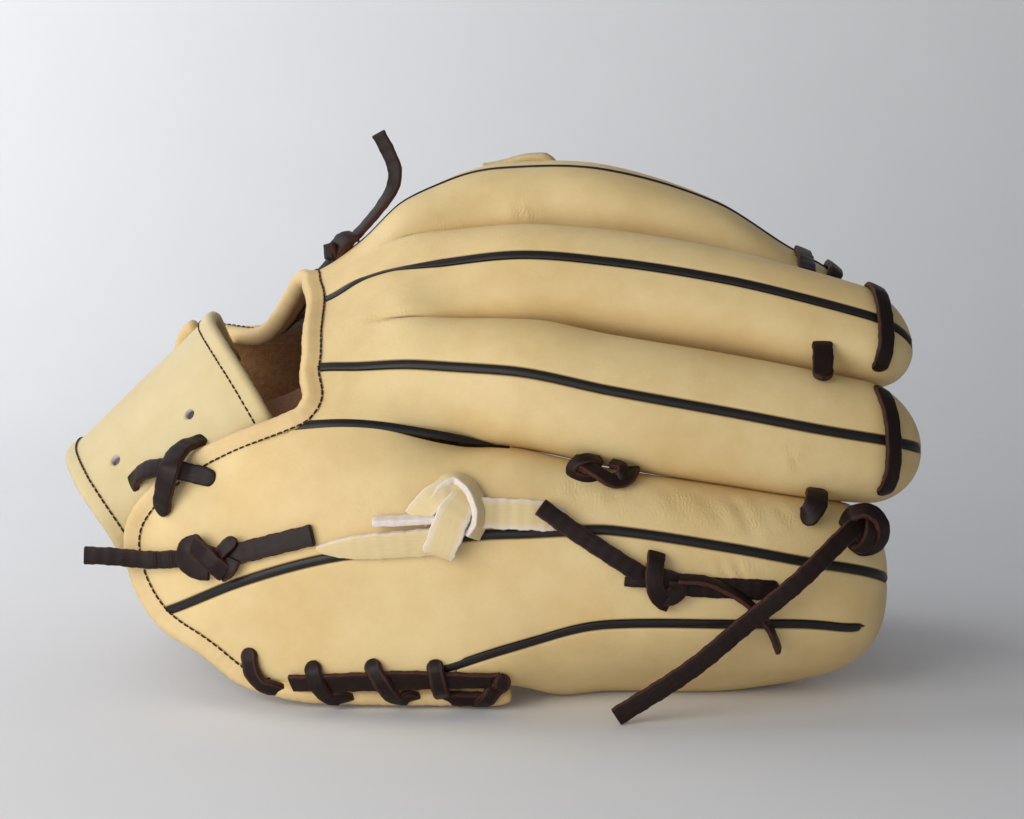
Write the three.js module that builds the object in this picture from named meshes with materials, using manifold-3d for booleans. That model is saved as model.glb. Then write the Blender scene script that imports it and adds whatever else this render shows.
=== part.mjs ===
// A leather pitcher glove lying pocket down like a low tent: fingers point along +X, the little
// finger faces -Y, the thumb is on the +Y side, and the heels and finger edges rest on z = 0.
// Millimetres, +Z up, origin under the middle of the bounding box.

import * as THREE from 'three';
import * as BufferGeometryUtils from 'three/addons/utils/BufferGeometryUtils.js';
import Module from 'manifold-3d';

const wasm = await Module();
wasm.setup();

const { lerp, clamp, smoothstep: smooth, degToRad: radians } = THREE.MathUtils;

// Driving sizes
const LEATHER = 2.2;            // wall of the back panels
const PALM_LEATHER = 2.6;       // wall of the palm and the stall fronts
const STRAP_LEATHER = 2.8;      // the wrist strap is two layers sewn together
const WEB_LEATHER = 3.0;        // each web panel is two layers
const WELT_RADIUS = 1.3;        // piping sewn into the seams
const WELT_CLEAR = 2.2;         // seam line to the panel edge beside the piping
const SEAM_CLEAR = 0.35;        // two panel edges that meet without piping
const BINDING_RADIUS = 3.2;     // rolled edge binding
const BINDING_CLEAR = 0.8;      // air between the leather's cut edge and its binding
const FLOOR_BINDING_Z = BINDING_RADIUS * Math.cos(Math.PI / 8); // its flat underside is on the floor
const PALM_BINDING_RADIUS = 2.6;
const LACE_WIDTH = 6.2;         // flat rawhide lace
const LACE_THICK = 2.3;
const CLEAR = 0.35;             // air kept between touching pieces

const CROTCH_X = 6;             // where the fingers part
const VALLEY_FROM_X = -38;      // where the dents between the fingers begin
const CROTCH_BLEND = 18;        // length over which a slit opens
const LOOP_POWER = 0.8;         // 1 is an ellipse, less is squarer
const DEEP_ANGLE = 38;          // how far a back panel wraps below a stall's side, in degrees
const FRONT_ANGLE = 45;         // and where the stall's front leather begins
const STALL_STEPS = 5;          // rows of cells along a stall before its dome
const HAND_STEPS = 6;           // rows of cells from the wrist edge to the crotch
const DOME_ANGLES = [30, 55, 75, 88];
const TOP_STEPS = 4;            // columns of cells from a crest to its valley
const DEEP_STEPS = 2;           // and from there to the stall's front
const FRONT_STEPS = 4;          // columns of cells across a stall's front
const HEEL_STEPS = 6;           // rows of the outer panel behind its lower seam
const HEEL_START_CLEAR = 2;     // how far that panel's wrist edge stays inside the binding's line
const HEEL_SEAM_X = -12;        // where that seam begins
const THUMB_SIDE_AT = 10;       // the line along the thumb stall's upper side
const WEB_SEAM_AT = 9;          // and the line of the seam below the index finger
const WEB_SEAM_STEPS = 3;
const PALM_BLEND_X = -30;       // where the palm begins to swell into the stall fronts
const WELT_STEPS = 14;
const WELT_SUNK = 0.4;          // depth of the piping's middle below the skin
const STEP_T = 0.02;
const STRAP_BINDING_RADIUS = 2.4;
const STRAP_STEPS = 10;
const LINING = 1.2;
const LINING_INSET = 3;
const LINING_ROWS = 4;          // rows of the palm's cells that it backs
const LACE_LIFT = LACE_THICK / 2 + CLEAR + 0.1; // middle of a lace above the skin it lies on
const WRAP_WIDTH = 4.8;
const WEB_FROM_X = -4;
const WEB_TO_X = 100;
const WEB_THUMB_FROM_X = 2;
const WEB_THUMB_TO_X = 80;
const WEB_STEPS = 8;
const WEB_INDEX_ANGLE = 18;     // where it meets the index stall, in degrees round its section
const WEB_THUMB_ANGLE = 162;    // and the thumb stall
const WEB_OFF_SKIN = new THREE.Vector3(0, 3.3, 2.4); // from the stalls' skin to the web's
const WEB_OUT = new THREE.Vector3(0, 0.7, 0.6);
const WEB_SWELL = 12;           // how far the web bulges that way
const WEB_LOBE = 9;             // how far its corner stands above the index stall
const WEB_LOBE_TO_X = 30;
const WEB_LOBE_FALL = 18;       // length over which the corner falls back
const STEP_X = 0.4;             // length over which a surface's slope is taken
const CENTRE = { x: -2.975, y: 3.115 }; // middle of the plan, in the tables' measure

const LEATHER_CREAM = { color: 0xd9bf8c, roughness: 0.62, metalness: 0 };
const LEATHER_DARK = { color: 0x2b211b, roughness: 0.55, metalness: 0 };
const LEATHER_LINING = { color: 0x5b3a22, roughness: 0.8, metalness: 0 };
const LEATHER_STRAP = { color: 0xe2d0a4, roughness: 0.66, metalness: 0 };

// Each stall: its crest line, the way it faces (0 is -Y, 90 is up), half its width and half its depth.
// The little finger's stall has two seams, at the angles upper and lower round its section, and tuck
// is how far its floor edge is drawn in under the hand.
const STALLS = {
  pinky: {
    tip: 136, round: 24,
    rows: [
      { x: -40, y: -79, z: 47.3, out: 2, half: 39.5, deep: 24, upper: 73, lower: 116, tuck: -8 },
      { x: 6, y: -79, z: 47.3, out: 2, half: 39.5, deep: 24, upper: 73, lower: 116, tuck: -3 },
      { x: 24, y: -79, z: 42.3, out: 2, half: 40.8, deep: 23.5, upper: 65, lower: 103, tuck: 13 },
      { x: 40, y: -79, z: 40.6, out: 2, half: 39.2, deep: 23, upper: 60, lower: 99, tuck: 19 },
      { x: 80, y: -76, z: 37.4, out: 2, half: 36, deep: 21.5, upper: 63, lower: 96, tuck: 18 },
      { x: 112, y: -69, z: 35, out: 1, half: 33, deep: 19, upper: 69, lower: 98, tuck: 14 },
      { x: 136, y: -61, z: 36, out: 0, half: 31, deep: 17, upper: 76, lower: 102, tuck: 8 },
    ],
  },
  ring: {
    tip: 147.5, round: 20,
    rows: [
      { x: -40, y: -51, z: 115, out: 24, half: 21, deep: 17 },
      { x: 6, y: -60, z: 115.5, out: 20, half: 21.3, deep: 17.5 },
      { x: 40, y: -62.5, z: 109, out: 20, half: 22, deep: 17 },
      { x: 80, y: -62, z: 101.5, out: 18, half: 22, deep: 16.5 },
      { x: 112, y: -60, z: 95, out: 16, half: 21.4, deep: 16 },
      { x: 147.5, y: -54, z: 88, out: 14, half: 19.5, deep: 15 },
    ],
  },
  middle: {
    tip: 146, round: 18,
    rows: [
      { x: -40, y: -20, z: 143.5, out: 44, half: 18.5, deep: 17 },
      { x: 6, y: -30, z: 150.8, out: 38, half: 18.8, deep: 17.5 },
      { x: 40, y: -34, z: 149, out: 36, half: 19, deep: 17 },
      { x: 80, y: -36.5, z: 143, out: 36, half: 18.4, deep: 16.5 },
      { x: 112, y: -38, z: 135.5, out: 36, half: 17.6, deep: 16 },
      { x: 146, y: -37, z: 126, out: 36, half: 16.4, deep: 15 },
    ],
  },
  index: {
    tip: 133, round: 18,
    rows: [
      { x: -40, y: 10, z: 158, out: 72, half: 17.5, deep: 16 },
      { x: -14, y: 14, z: 174, out: 76, half: 17.5, deep: 16.5 },
      { x: 6, y: 12, z: 178, out: 80, half: 17.2, deep: 17 },
      { x: 40, y: 9, z: 177.4, out: 80, half: 16.8, deep: 16.5 },
      { x: 80, y: 10, z: 165.5, out: 84, half: 16.2, deep: 16 },
      { x: 107, y: 9, z: 149, out: 84, half: 15.8, deep: 15.5 },
      { x: 133, y: 6, z: 136, out: 84, half: 15, deep: 14.5 },
    ],
  },
  thumb: {
    tip: 98, round: 20,
    rows: [
      { x: -40, y: 92, z: 40, out: 172, half: 36.4, deep: 19 },
      { x: 6, y: 93, z: 35.8, out: 172, half: 33, deep: 18 },
      { x: 40, y: 91, z: 31, out: 172, half: 28.4, deep: 17 },
      { x: 75, y: 87, z: 28.4, out: 172, half: 26, deep: 16 },
      { x: 98, y: 84, z: 27, out: 172, half: 24.5, deep: 15 },
    ],
  },
};

// Seam and shape lines of the back of the hand, from the near floor edge over the top to the far one.
// at is the line's place in that order, and start is where the leather's wrist edge cuts the line.
const BACK_LINES = [
  { at: 0, start: -68, rows: [
    { x: -130, y: -46, z: 9 }, { x: -75, y: -63.5, z: 7.4 },
    { x: -30, y: -69, z: 7 }, { x: 6, y: -59, z: 7 }] },
  { at: 1, start: -88, rows: [
    { x: -130, y: -46, z: 15 }, { x: -78, y: -66, z: 16 }, { x: -54, y: -73, z: 15 },
    { x: -31, y: -75.5, z: 15 }, { x: -12, y: -76.5, z: 18 }, { x: 6, y: -77, z: 26 }] },
  { at: 2, start: -111, rows: [
    { x: -130, y: -44, z: 24 }, { x: -111, y: -54, z: 31 }, { x: -85, y: -68, z: 44 },
    { x: -57, y: -76, z: 53.5 }, { x: -30, y: -79, z: 58 }, { x: 6, y: -79, z: 61.5 }] },
  { at: 2.5, start: -121, rows: [
    { x: -130, y: -40, z: 54 }, { x: -99, y: -58, z: 63 }, { x: -64, y: -71, z: 71.5 },
    { x: -30, y: -75, z: 76 }, { x: 6, y: -72, z: 76 }] },
  { at: 2.8, start: -100, rows: [
    { x: -130, y: -36, z: 72 }, { x: -99, y: -50, z: 80 }, { x: -78, y: -60, z: 85 },
    { x: -54, y: -66, z: 88 }, { x: -24, y: -68, z: 87 }, { x: 6, y: -61, z: 83 }] },
  { at: 3, start: -64, rows: [
    { x: -130, y: -30, z: 84 }, { x: -64, y: -58, z: 96 }, { x: -44, y: -61, z: 97 },
    { x: -17, y: -60, z: 93 }, { x: -2, y: -54, z: 89 }, { x: 6, y: -52, z: 87.5 }] },
  { at: 4, start: -59, rows: [
    { x: -130, y: -20, z: 100 }, { x: -60, y: -46, z: 114 }, { x: -45, y: -50, z: 115 },
    { x: -24, y: -55, z: 116.5 }, { x: 6, y: -60, z: 115.5 }] },
  { at: 5, start: -59, rows: [
    { x: -130, y: 0, z: 116 }, { x: -60, y: -33, z: 125 }, { x: -40, y: -38, z: 130 },
    { x: -24, y: -42, z: 134 }, { x: 6, y: -46, z: 136 }] },
  { at: 6, start: -59, rows: [
    { x: -130, y: 10, z: 118 }, { x: -60, y: -16, z: 133.5 }, { x: -46, y: -18, z: 141 },
    { x: -32, y: -22, z: 145.4 }, { x: 6, y: -30, z: 150.8 }] },
  { at: 7, start: -61, rows: [
    { x: -130, y: 18, z: 120 }, { x: -62, y: -6, z: 138.5 }, { x: -40, y: -7, z: 152 },
    { x: -24, y: -8, z: 160 }, { x: 6, y: -11, z: 167 }] },
  { at: 8, start: -64, rows: [
    { x: -130, y: 30, z: 120 }, { x: -64, y: 5, z: 141 }, { x: -47, y: 8, z: 152 },
    { x: -32, y: 11, z: 166 }, { x: -14, y: 14, z: 174 }, { x: 6, y: 12, z: 178 }] },
  { at: 9, start: -80, rows: [
    { x: -130, y: 52, z: 104 }, { x: -100, y: 46, z: 118 }, { x: -78, y: 40, z: 125 },
    { x: -50, y: 36, z: 144 }, { x: -20, y: 38, z: 160 }, { x: 6, y: 40, z: 160 }] },
  { at: 10, start: -114, rows: [
    { x: -130, y: 72, z: 72 }, { x: -100, y: 72, z: 88 }, { x: -60, y: 74, z: 104 },
    { x: -20, y: 78, z: 96 }, { x: 6, y: 82, z: 74 }] },
  { at: 11, start: -116, rows: [
    { x: -130, y: 72, z: 40 }, { x: -100, y: 82, z: 43 }, { x: -60, y: 91, z: 43 },
    { x: -20, y: 93, z: 38 }, { x: 6, y: 93, z: 35.8 }] },
  { at: 12, start: -80, rows: [
    { x: -130, y: 60, z: 12 }, { x: -80, y: 74, z: 8 }, { x: -50, y: 78, z: 7 }, { x: 6, y: 79, z: 4 }] },
];

// Shape lines of the palm leather, in the same order: the two floor edges and the seams of the stall fronts
const PALM_LINES = [
  { at: 0, start: -66, rows: [
    { x: -110, y: -42, z: 10 }, { x: -60, y: -60.5, z: 7.4 },
    { x: -30, y: -63.5, z: 7.4 }, { x: 6, y: -50, z: 8.5 }] },
  { at: 1, start: -88, rows: [
    { x: -110, y: -32, z: 48 }, { x: -60, y: -38, z: 62 },
    { x: -30, y: -39, z: 74 }, { x: 6, y: -34.6, z: 82.9 }] },
  { at: 2, start: -96, rows: [
    { x: -110, y: -18, z: 68 }, { x: -60, y: -24, z: 86 },
    { x: -30, y: -22, z: 103.4 }, { x: 6, y: -16.4, z: 118 }] },
  { at: 3, start: -99, rows: [
    { x: -110, y: 2, z: 78 }, { x: -60, y: -2, z: 96 }, { x: -30, y: 1, z: 121 }, { x: 6, y: 4.8, z: 143 }] },
  { at: 4, start: -98, rows: [
    { x: -110, y: 22, z: 76 }, { x: -60, y: 24, z: 96 },
    { x: -30, y: 28.4, z: 125 }, { x: 6, y: 31.6, z: 148.5 }] },
  { at: 5, start: -90, rows: [
    { x: -110, y: 44, z: 50 }, { x: -60, y: 52, z: 64 }, { x: -30, y: 56, z: 64 }, { x: 6, y: 58, z: 59 }] },
  { at: 6, start: -66, rows: [
    { x: -110, y: 54, z: 10 }, { x: -60, y: 70.5, z: 7 },
    { x: -30, y: 73, z: 6.5 }, { x: 6, y: 66, z: 5.4 }] },
];

// Smooth value of each named column at a place between the rows, level slopes carried past the ends
function valueAt(rows, place, column = 'x') {
  let i = 0;
  while (i < rows.length - 2 && place > rows[i + 1][column]) i += 1;
  const [a, b] = [rows[Math.max(i - 1, 0)], rows[i]];
  const [c, d] = [rows[i + 1], rows[Math.min(i + 2, rows.length - 1)]];
  const span = c[column] - b[column];
  const t = (place - b[column]) / span;
  const inside = clamp(t, 0, 1);
  const result = {};
  for (const key of Object.keys(b)) {
    if (key === column || typeof b[key] !== 'number') continue;
    const slopeB = (c[key] - a[key]) / (c[column] - a[column]) * span;
    const slopeC = (d[key] - b[key]) / (d[column] - b[column]) * span;
    const t2 = inside * inside;
    const t3 = t2 * inside;
    result[key] = b[key] * (2 * t3 - 3 * t2 + 1) + slopeB * (t3 - 2 * t2 + inside)
      + c[key] * (3 * t2 - 2 * t3) + slopeC * (t3 - t2)
      + (t < 0 ? slopeB * t : 0) + (t > 1 ? slopeC * (t - 1) : 0);
  }
  return result;
}

const evenly = (from, to, steps) => Array.from({ length: steps + 1 }, (_, i) => lerp(from, to, i / steps));
const signedPower = (value) => Math.sign(value) * Math.abs(value) ** LOOP_POWER;

// Point on the surface that a set of lines spans, at a length x and a place across the lines
function spanned(lines, x, at) {
  const cut = lines.map((line) => ({ at: line.at, start: line.start, ...valueAt(line.rows, x) }));
  const { y, z } = valueAt(cut, at, 'at');
  return new THREE.Vector3(x, y, z);
}

// Length x at which the leather's wrist edge cuts a set of lines
function startOf(lines, at) {
  const starts = lines.map((line) => ({ at: line.at, start: line.start }));
  return valueAt(starts, at, 'at').start;
}

// Point on a stall's skin: 90 degrees is its crest, 0 the side towards the thumb, 270 the palm
function stallPoint(stall, x, degrees) {
  const row = valueAt(stall.rows, x);
  const past = Math.max(0, (x - stall.tip + stall.round) / stall.round);
  const dome = Math.sqrt(Math.max(0, 1 - past * past));
  const out = radians(row.out);
  const across = signedPower(Math.cos(radians(degrees))) * row.half * dome;
  const outward = signedPower(Math.sin(radians(degrees))) * row.deep * dome - row.deep;
  const tucked = across < 0 ? (row.tuck ?? 0) * dome * (across / row.half) ** 2 : 0;
  return new THREE.Vector3(
    x,
    row.y + Math.sin(out) * across - Math.cos(out) * outward + tucked,
    row.z + Math.cos(out) * across + Math.sin(out) * outward,
  );
}

// Lengthwise places of a stall's rows: even steps up to its dome, then even angles round the tip
function stallStations(stall, steps = STALL_STEPS) {
  const domeFrom = stall.tip - stall.round;
  const straight = evenly(CROTCH_X, domeFrom, steps);
  return straight.concat(DOME_ANGLES.map((angle) => domeFrom + stall.round * Math.sin(radians(angle))));
}

// Surface of half a stall: t is 0 at the crest line, 1 at the stall's side and more below it.
// Before the crotch it blends into the back of the hand, and both stalls beside a valley share its floor.
function halfSurface({ stall, beside, side, crestAt, valleyAt, from = 90 }) {
  const sideAngle = side === 'high' ? 0 : 180;
  const otherAngle = 180 - sideAngle;
  const turn = side === 'high' ? -90 : 90;
  const crestAngle = (x) => (typeof from === 'string' ? valueAt(stall.rows, x)[from] : from);
  return (x, t) => {
    const start = crestAngle(x);
    const degrees = t <= 1 ? lerp(start, sideAngle, t) : sideAngle + turn * (t - 1);
    const onStall = stallPoint(stall, x, degrees);
    if (beside && x < CROTCH_X + CROTCH_BLEND) {
      const own = stallPoint(stall, x, sideAngle);
      const floor = stallPoint(beside, x, otherAngle).add(own).multiplyScalar(0.5);
      const fade = 1 - smooth(x, CROTCH_X, CROTCH_X + CROTCH_BLEND);
      const weight = t <= 1 ? t * t : Math.max(0, 1 - (t - 1) * 2);
      onStall.addScaledVector(floor.sub(own), fade * weight);
    }
    if (x >= CROTCH_X) return onStall;
    const onBack = spanned(BACK_LINES, x, lerp(crestAt, valleyAt, Math.min(t, 1)));
    return onBack.lerp(onStall, smooth(x, VALLEY_FROM_X, CROTCH_X));
  };
}

// Unit normal of a surface (x, t), facing the side that flip says
function normalAt(surface, x, t, flip) {
  const step = 0.02;
  const alongX = surface(x + STEP_X, t).sub(surface(x - STEP_X, t));
  const across = surface(x, t).sub(surface(x, t - step));
  if (t < 1 || x > CROTCH_X) across.add(surface(x, t + 2 * PROBE_T).sub(surface(x, t)));
  return alongX.cross(across).multiplyScalar(flip).normalize();
}

// A sheet of leather collected vertex by vertex, and closed into a wall of the given thickness
class Sheet {
  constructor() {
    this.points = [];
    this.normals = [];
    this.faces = [];
    this.known = new Map();
  }

  vertex(key, point, normal) {
    if (!this.known.has(key)) {
      this.known.set(key, this.points.length);
      this.points.push(point);
      this.normals.push(normal.clone());
    } else {
      this.normals[this.known.get(key)].add(normal);
    }
    return this.known.get(key);
  }

  quad(a, b, c, d, flip) {
    const corners = flip > 0 ? [a, b, c, d] : [a, d, c, b];
    this.faces.push([corners[0], corners[1], corners[2]], [corners[0], corners[2], corners[3]]);
  }

  thicken(thickness) {
    const count = this.points.length;
    const inner = this.points.map((point, i) => {
      const normal = this.normals[i].normalize();
      return point.clone().addScaledVector(normal, -thickness);
    });
    const index = [];
    const edges = new Map();
    for (const [a, b, c] of this.faces) {
      index.push(a, b, c, a + count, c + count, b + count);
      for (const [from, to] of [[a, b], [b, c], [c, a]]) {
        if (edges.has(`${to}_${from}`)) edges.delete(`${to}_${from}`);
        else edges.set(`${from}_${to}`, [from, to]);
      }
    }
    for (const [from, to] of edges.values()) {
      index.push(to, from, from + count, to, from + count, to + count);
    }
    return meshData([...this.points, ...inner], index);
  }
}

function meshData(points, index) {
  const geometry = new THREE.BufferGeometry();
  const places = points.flatMap((point) => point.toArray());
  geometry.setAttribute('position', new THREE.Float32BufferAttribute(places, 3));
  geometry.setIndex(index);
  return geometry;
}

// The lowest leather is pressed flat on the floor
function settled(point) {
  const drop = SETTLE * (1 - smooth(point.z, 0, SETTLE_HEIGHT));
  return point.setZ(Math.max(0, point.z - drop));
}

// Adds the cells between rows of x (one list per column) and columns of t to a sheet
function addCells(sheet, { surface, xAt, rowsFrom, rowsTo, columns, flip, key }) {
  const at = (i, j) => {
    const x = xAt(i, columns[j]);
    const point = settled(surface(x, columns[j]));
    return sheet.vertex(key(i, j), point, normalAt(surface, x, columns[j], flip));
  };
  for (let i = rowsFrom; i < rowsTo; i += 1) {
    for (let j = 0; j < columns.length - 1; j += 1) {
      sheet.quad(at(i, j), at(i + 1, j), at(i + 1, j + 1), at(i, j + 1), flip);
    }
  }
}

const FRONT_EDGE = 1 + DEEP_ANGLE / 90;
const SEAM_T = 0.012;           // SEAM_CLEAR as a share of a quarter turn round a stall
const WELT_T = WELT_CLEAR / 34; // WELT_CLEAR as a share of the way from a crest to its valley
const MOST_INSET = 0.2;         // the clearance as a share of that way stays below this near the tips
const PROBE_T = 0.1;            // share of that way over which the leather's width is taken
const SETTLE = 1.2;             // how far the lowest leather is pressed down
const SETTLE_HEIGHT = 9;

// The share of the way from a surface's crest to its side that keeps its edge off the piping
function insetAt(surface, x) {
  const probe = surface(x, PROBE_T).distanceTo(surface(x, 0));
  return Math.min(MOST_INSET, WELT_CLEAR * PROBE_T / probe);
}

// Rows of a half panel: the hand's from the wrist edge to the crotch, then the stall's
function rowPlaces(stall, startAt, steps = HAND_STEPS) {
  const stations = stallStations(stall);
  return {
    crotchRow: steps,
    lastRow: steps + stations.length - 1,
    xAt: (i, t) => (i < steps ? lerp(startAt(t), CROTCH_X, i / steps) : stations[i - steps]),
  };
}

// A back panel made of one half stall, or of two that share the valley between them
function backPanel(halves, thickness = LEATHER) {
  const sheet = new Sheet();
  halves.forEach((half, number) => {
    const skin = halfSurface(half);
    const surface = (x, t) => skin(x, Math.max(t, insetAt(skin, x)));
    const flip = half.side === 'high' ? 1 : -1;
    const forked = halves.length > 1;
    const lastOnTop = forked ? 1 : 1 - WELT_T;
    const top = [...evenly(0, 1, TOP_STEPS).slice(0, -1), lastOnTop];
    const deep = evenly(lastOnTop, FRONT_EDGE - SEAM_T, DEEP_STEPS).slice(1);
    const columns = top.concat(deep);
    const valleyColumn = top.length - 1;
    const startAt = half.startAt
      ?? ((t) => startOf(BACK_LINES, lerp(half.crestAt, half.valleyAt, Math.min(t, 1))));
    const { crotchRow, lastRow, xAt } = rowPlaces(half.stall, startAt);
    const inValley = (i, j) => forked && j === valleyColumn && i <= crotchRow;
    const key = (i, j) => (inValley(i, j) ? `valley_${i}` : `${number}_${i}_${j}`);
    addCells(sheet, { surface, xAt, rowsFrom: 0, rowsTo: crotchRow, columns: top, flip, key });
    addCells(sheet, { surface, xAt, rowsFrom: crotchRow, rowsTo: lastRow, columns, flip, key });
    if (half.extend) half.extend(sheet, { surface, xAt, crotchRow, columns, valleyColumn, flip, key });
  });
  return sheet.thicken(thickness);
}

// The hand's leather between the thumb and the web seam: e is 0 at the thumb stall's side, 1 at the seam
function beyondThumb(x, e) {
  const side = halfSurface(HALVES.thumbLow)(x, 1 - WELT_T);
  const shift = side.sub(spanned(BACK_LINES, x, THUMB_SIDE_AT));
  const onBack = spanned(BACK_LINES, x, lerp(THUMB_SIDE_AT, WEB_SEAM_AT, e));
  return onBack.addScaledVector(shift, (1 - e) ** 2);
}

// Adds that leather to the thumb's back panel, from the wrist edge to the crotch
function extendThumb(sheet, { crotchRow, valleyColumn, flip, key }) {
  addCells(sheet, {
    surface: (x, e) => beyondThumb(Math.min(x, CROTCH_X - STEP_X), e),
    xAt: (i, e) => {
      const start = startOf(BACK_LINES, lerp(THUMB_SIDE_AT, WEB_SEAM_AT, e));
      return lerp(start, CROTCH_X, i / crotchRow);
    },
    rowsFrom: 0,
    rowsTo: crotchRow,
    columns: evenly(0, 1 - WELT_T, WEB_SEAM_STEPS),
    flip,
    key: (i, j) => (j === 0 ? key(i, valleyColumn) : `beyond_${i}_${j}`),
  });
}

// Surface of the little finger's outer side: t is 0 at its upper seam, 1 at the lower and 2 at the floor edge
function pinkySideSurface(x, t) {
  const { upper, lower } = valueAt(STALLS.pinky.rows, x);
  const degrees = t <= 1 ? lerp(upper, lower, t) : lerp(lower, 180, t - 1);
  const onStall = stallPoint(STALLS.pinky, x, degrees);
  if (x >= CROTCH_X) return onStall;
  return spanned(BACK_LINES, x, 2 - t).lerp(onStall, smooth(x, VALLEY_FROM_X, CROTCH_X));
}

// The little finger's outer panel: between its two seams, and down to the heel behind the lower one
function pinkySidePanel() {
  const { pinky } = STALLS;
  const sheet = new Sheet();
  const surface = (x, t) => {
    const width = pinkySideSurface(x, 1).distanceTo(pinkySideSurface(x, 0));
    const inset = Math.min(MOST_INSET, WELT_CLEAR / width);
    if (x < HEEL_SEAM_X) return pinkySideSurface(x, Math.max(t, inset));
    const lower = 1 - inset;
    return pinkySideSurface(x, t <= 1 ? lerp(inset, lower, t) : lerp(lower, 2, t - 1));
  };
  const between = evenly(0, 1, TOP_STEPS);
  const heel = evenly(1, 2, DEEP_STEPS);
  const afterHeel = [(HEEL_SEAM_X + CROTCH_X) / 2, ...stallStations(pinky)];
  const xAt = (i, t) => {
    const start = startOf(BACK_LINES, 2 - t) + HEEL_START_CLEAR;
    if (i <= HEEL_STEPS) return lerp(start, HEEL_SEAM_X, i / HEEL_STEPS);
    return afterHeel[i - HEEL_STEPS - 1];
  };
  const shared = { surface, xAt, rowsFrom: 0, flip: -1 };
  addCells(sheet, {
    ...shared, rowsTo: HEEL_STEPS + afterHeel.length, columns: between, key: (i, j) => `side_${i}_${j}`,
  });
  addCells(sheet, {
    ...shared,
    rowsTo: HEEL_STEPS,
    columns: heel,
    key: (i, j) => (j === 0 ? `side_${i}_${TOP_STEPS}` : `heel_${i}_${j}`),
  });
  return sheet.thicken(LEATHER);
}

// Where the palm's web edge is turned up under the back leather, from the index finger to the thumb
function turnedUp(c) {
  const x = CROTCH_X - 1;
  return beyondThumb(x, 1 - c).addScaledVector(normalAt(beyondThumb, x, 1 - c, -1), -LEATHER - 2 * CLEAR);
}

// The palm leather with the five stall fronts, parted by slits beyond the crotch
function palmShell() {
  const sheet = new Sheet();
  const fronts = [
    { stall: STALLS.pinky, at: 0, shared: [false, true] },
    { stall: STALLS.ring, at: 1, shared: [true, true] },
    { stall: STALLS.middle, at: 2, shared: [true, true] },
    { stall: STALLS.index, at: 3, shared: [true, false] },
    { at: 4 },
    { stall: STALLS.thumb, at: 5, shared: [false, false] },
  ];
  for (const { stall, at, shared } of fronts) {
    const angleOf = (c) => lerp(180 + FRONT_ANGLE, 360 - FRONT_ANGLE, c);
    const surface = (x, c) => {
      const bodyX = Math.min(x, CROTCH_X);
      const hull = spanned(PALM_LINES, bodyX, at + c);
      if (!stall) return x <= CROTCH_X ? hull : hull.lerp(turnedUp(c), x - CROTCH_X);
      const bulge = Math.min(1, 6 * c * (1 - c));
      const onStall = stallPoint(stall, x, angleOf(c));
      if (x < CROTCH_X) return hull.lerp(onStall, bulge * smooth(x, PALM_BLEND_X, CROTCH_X));
      const edge = Math.round(c);
      if (!shared[edge]) return onStall;
      const shift = spanned(PALM_LINES, CROTCH_X, at + edge).sub(stallPoint(stall, CROTCH_X, angleOf(edge)));
      const fade = 1 - smooth(x, CROTCH_X, CROTCH_X + CROTCH_BLEND);
      return onStall.addScaledVector(shift.setX(0), fade * (1 - bulge));
    };
    const columns = evenly(0, 1, FRONT_STEPS);
    const startAt = (c) => startOf(PALM_LINES, at + c);
    const { crotchRow, lastRow, xAt } = rowPlaces(stall ?? STALLS.index, startAt);
    const turnedRow = (i, c) => (i > crotchRow ? CROTCH_X + 1 : xAt(i, c));
    const key = (i, j) => {
      const onEdge = j === 0 || j === FRONT_STEPS;
      return onEdge && i <= crotchRow ? `line_${at + j / FRONT_STEPS}_${i}` : `${at}_${i}_${j}`;
    };
    addCells(sheet, {
      surface,
      xAt: stall ? xAt : turnedRow,
      rowsFrom: 0,
      rowsTo: stall ? lastRow : crotchRow + 1,
      columns,
      flip: -1,
      key,
    });
  }
  return sheet.thicken(PALM_LEATHER);
}

// A closed tube or band: each station has a centre and the vectors of its half width and half thickness
function sweep(stations, sides, phase = 0) {
  const points = stations.flatMap(({ centre, wide, thick }) => Array.from({ length: sides }, (_, k) => {
    const angle = phase + (k / sides) * 2 * Math.PI;
    return centre.clone().addScaledVector(wide, Math.cos(angle)).addScaledVector(thick, Math.sin(angle));
  }));
  const index = [];
  for (let i = 0; i < stations.length - 1; i += 1) {
    for (let k = 0; k < sides; k += 1) {
      const [a, b] = [i * sides + k, i * sides + (k + 1) % sides];
      index.push(a, b, b + sides, a, b + sides, a + sides);
    }
  }
  const last = (stations.length - 1) * sides;
  for (let k = 1; k < sides - 1; k += 1) {
    index.push(0, k + 1, k, last, last + k, last + k + 1);
  }
  return meshData(points, index);
}

// Stations along a path, with the flat side of the band turned towards face(i)
function stationsOn(path, halfWidth, halfThick, face) {
  return path.map((centre, i) => {
    const ahead = path[Math.min(i + 1, path.length - 1)];
    const tangent = ahead.clone().sub(path[Math.max(i - 1, 0)]).normalize();
    const out = face(i).clone();
    out.addScaledVector(tangent, -out.dot(tangent)).normalize();
    const wide = out.clone().cross(tangent).normalize();
    return {
      centre: centre.clone(),
      wide: wide.multiplyScalar(halfWidth),
      thick: out.multiplyScalar(halfThick),
    };
  });
}

// A flat strip of four sides along a path, with its flat side turned towards face(i)
function band(path, wide, thick, face) {
  const stations = stationsOn(path, wide / 2 * Math.SQRT2, thick / 2 * Math.SQRT2, face);
  return sweep(stations, 4, Math.PI / 4);
}

// Piping along a crest line, from the wrist edge to part of the way round the tip
function welt(half, { from, to }) {
  const surface = halfSurface(half);
  const places = evenly(from, to, WELT_STEPS);
  const flip = half.side === 'high' ? 1 : -1;
  const normals = places.map((x) => normalAt(surface, x, STEP_T, flip));
  const path = places.map((x, i) => surface(x, 0).addScaledVector(normals[i], -WELT_SUNK));
  return sweep(stationsOn(path, WELT_RADIUS, WELT_RADIUS, (i) => normals[i]), 5, Math.PI / 2);
}

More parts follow.
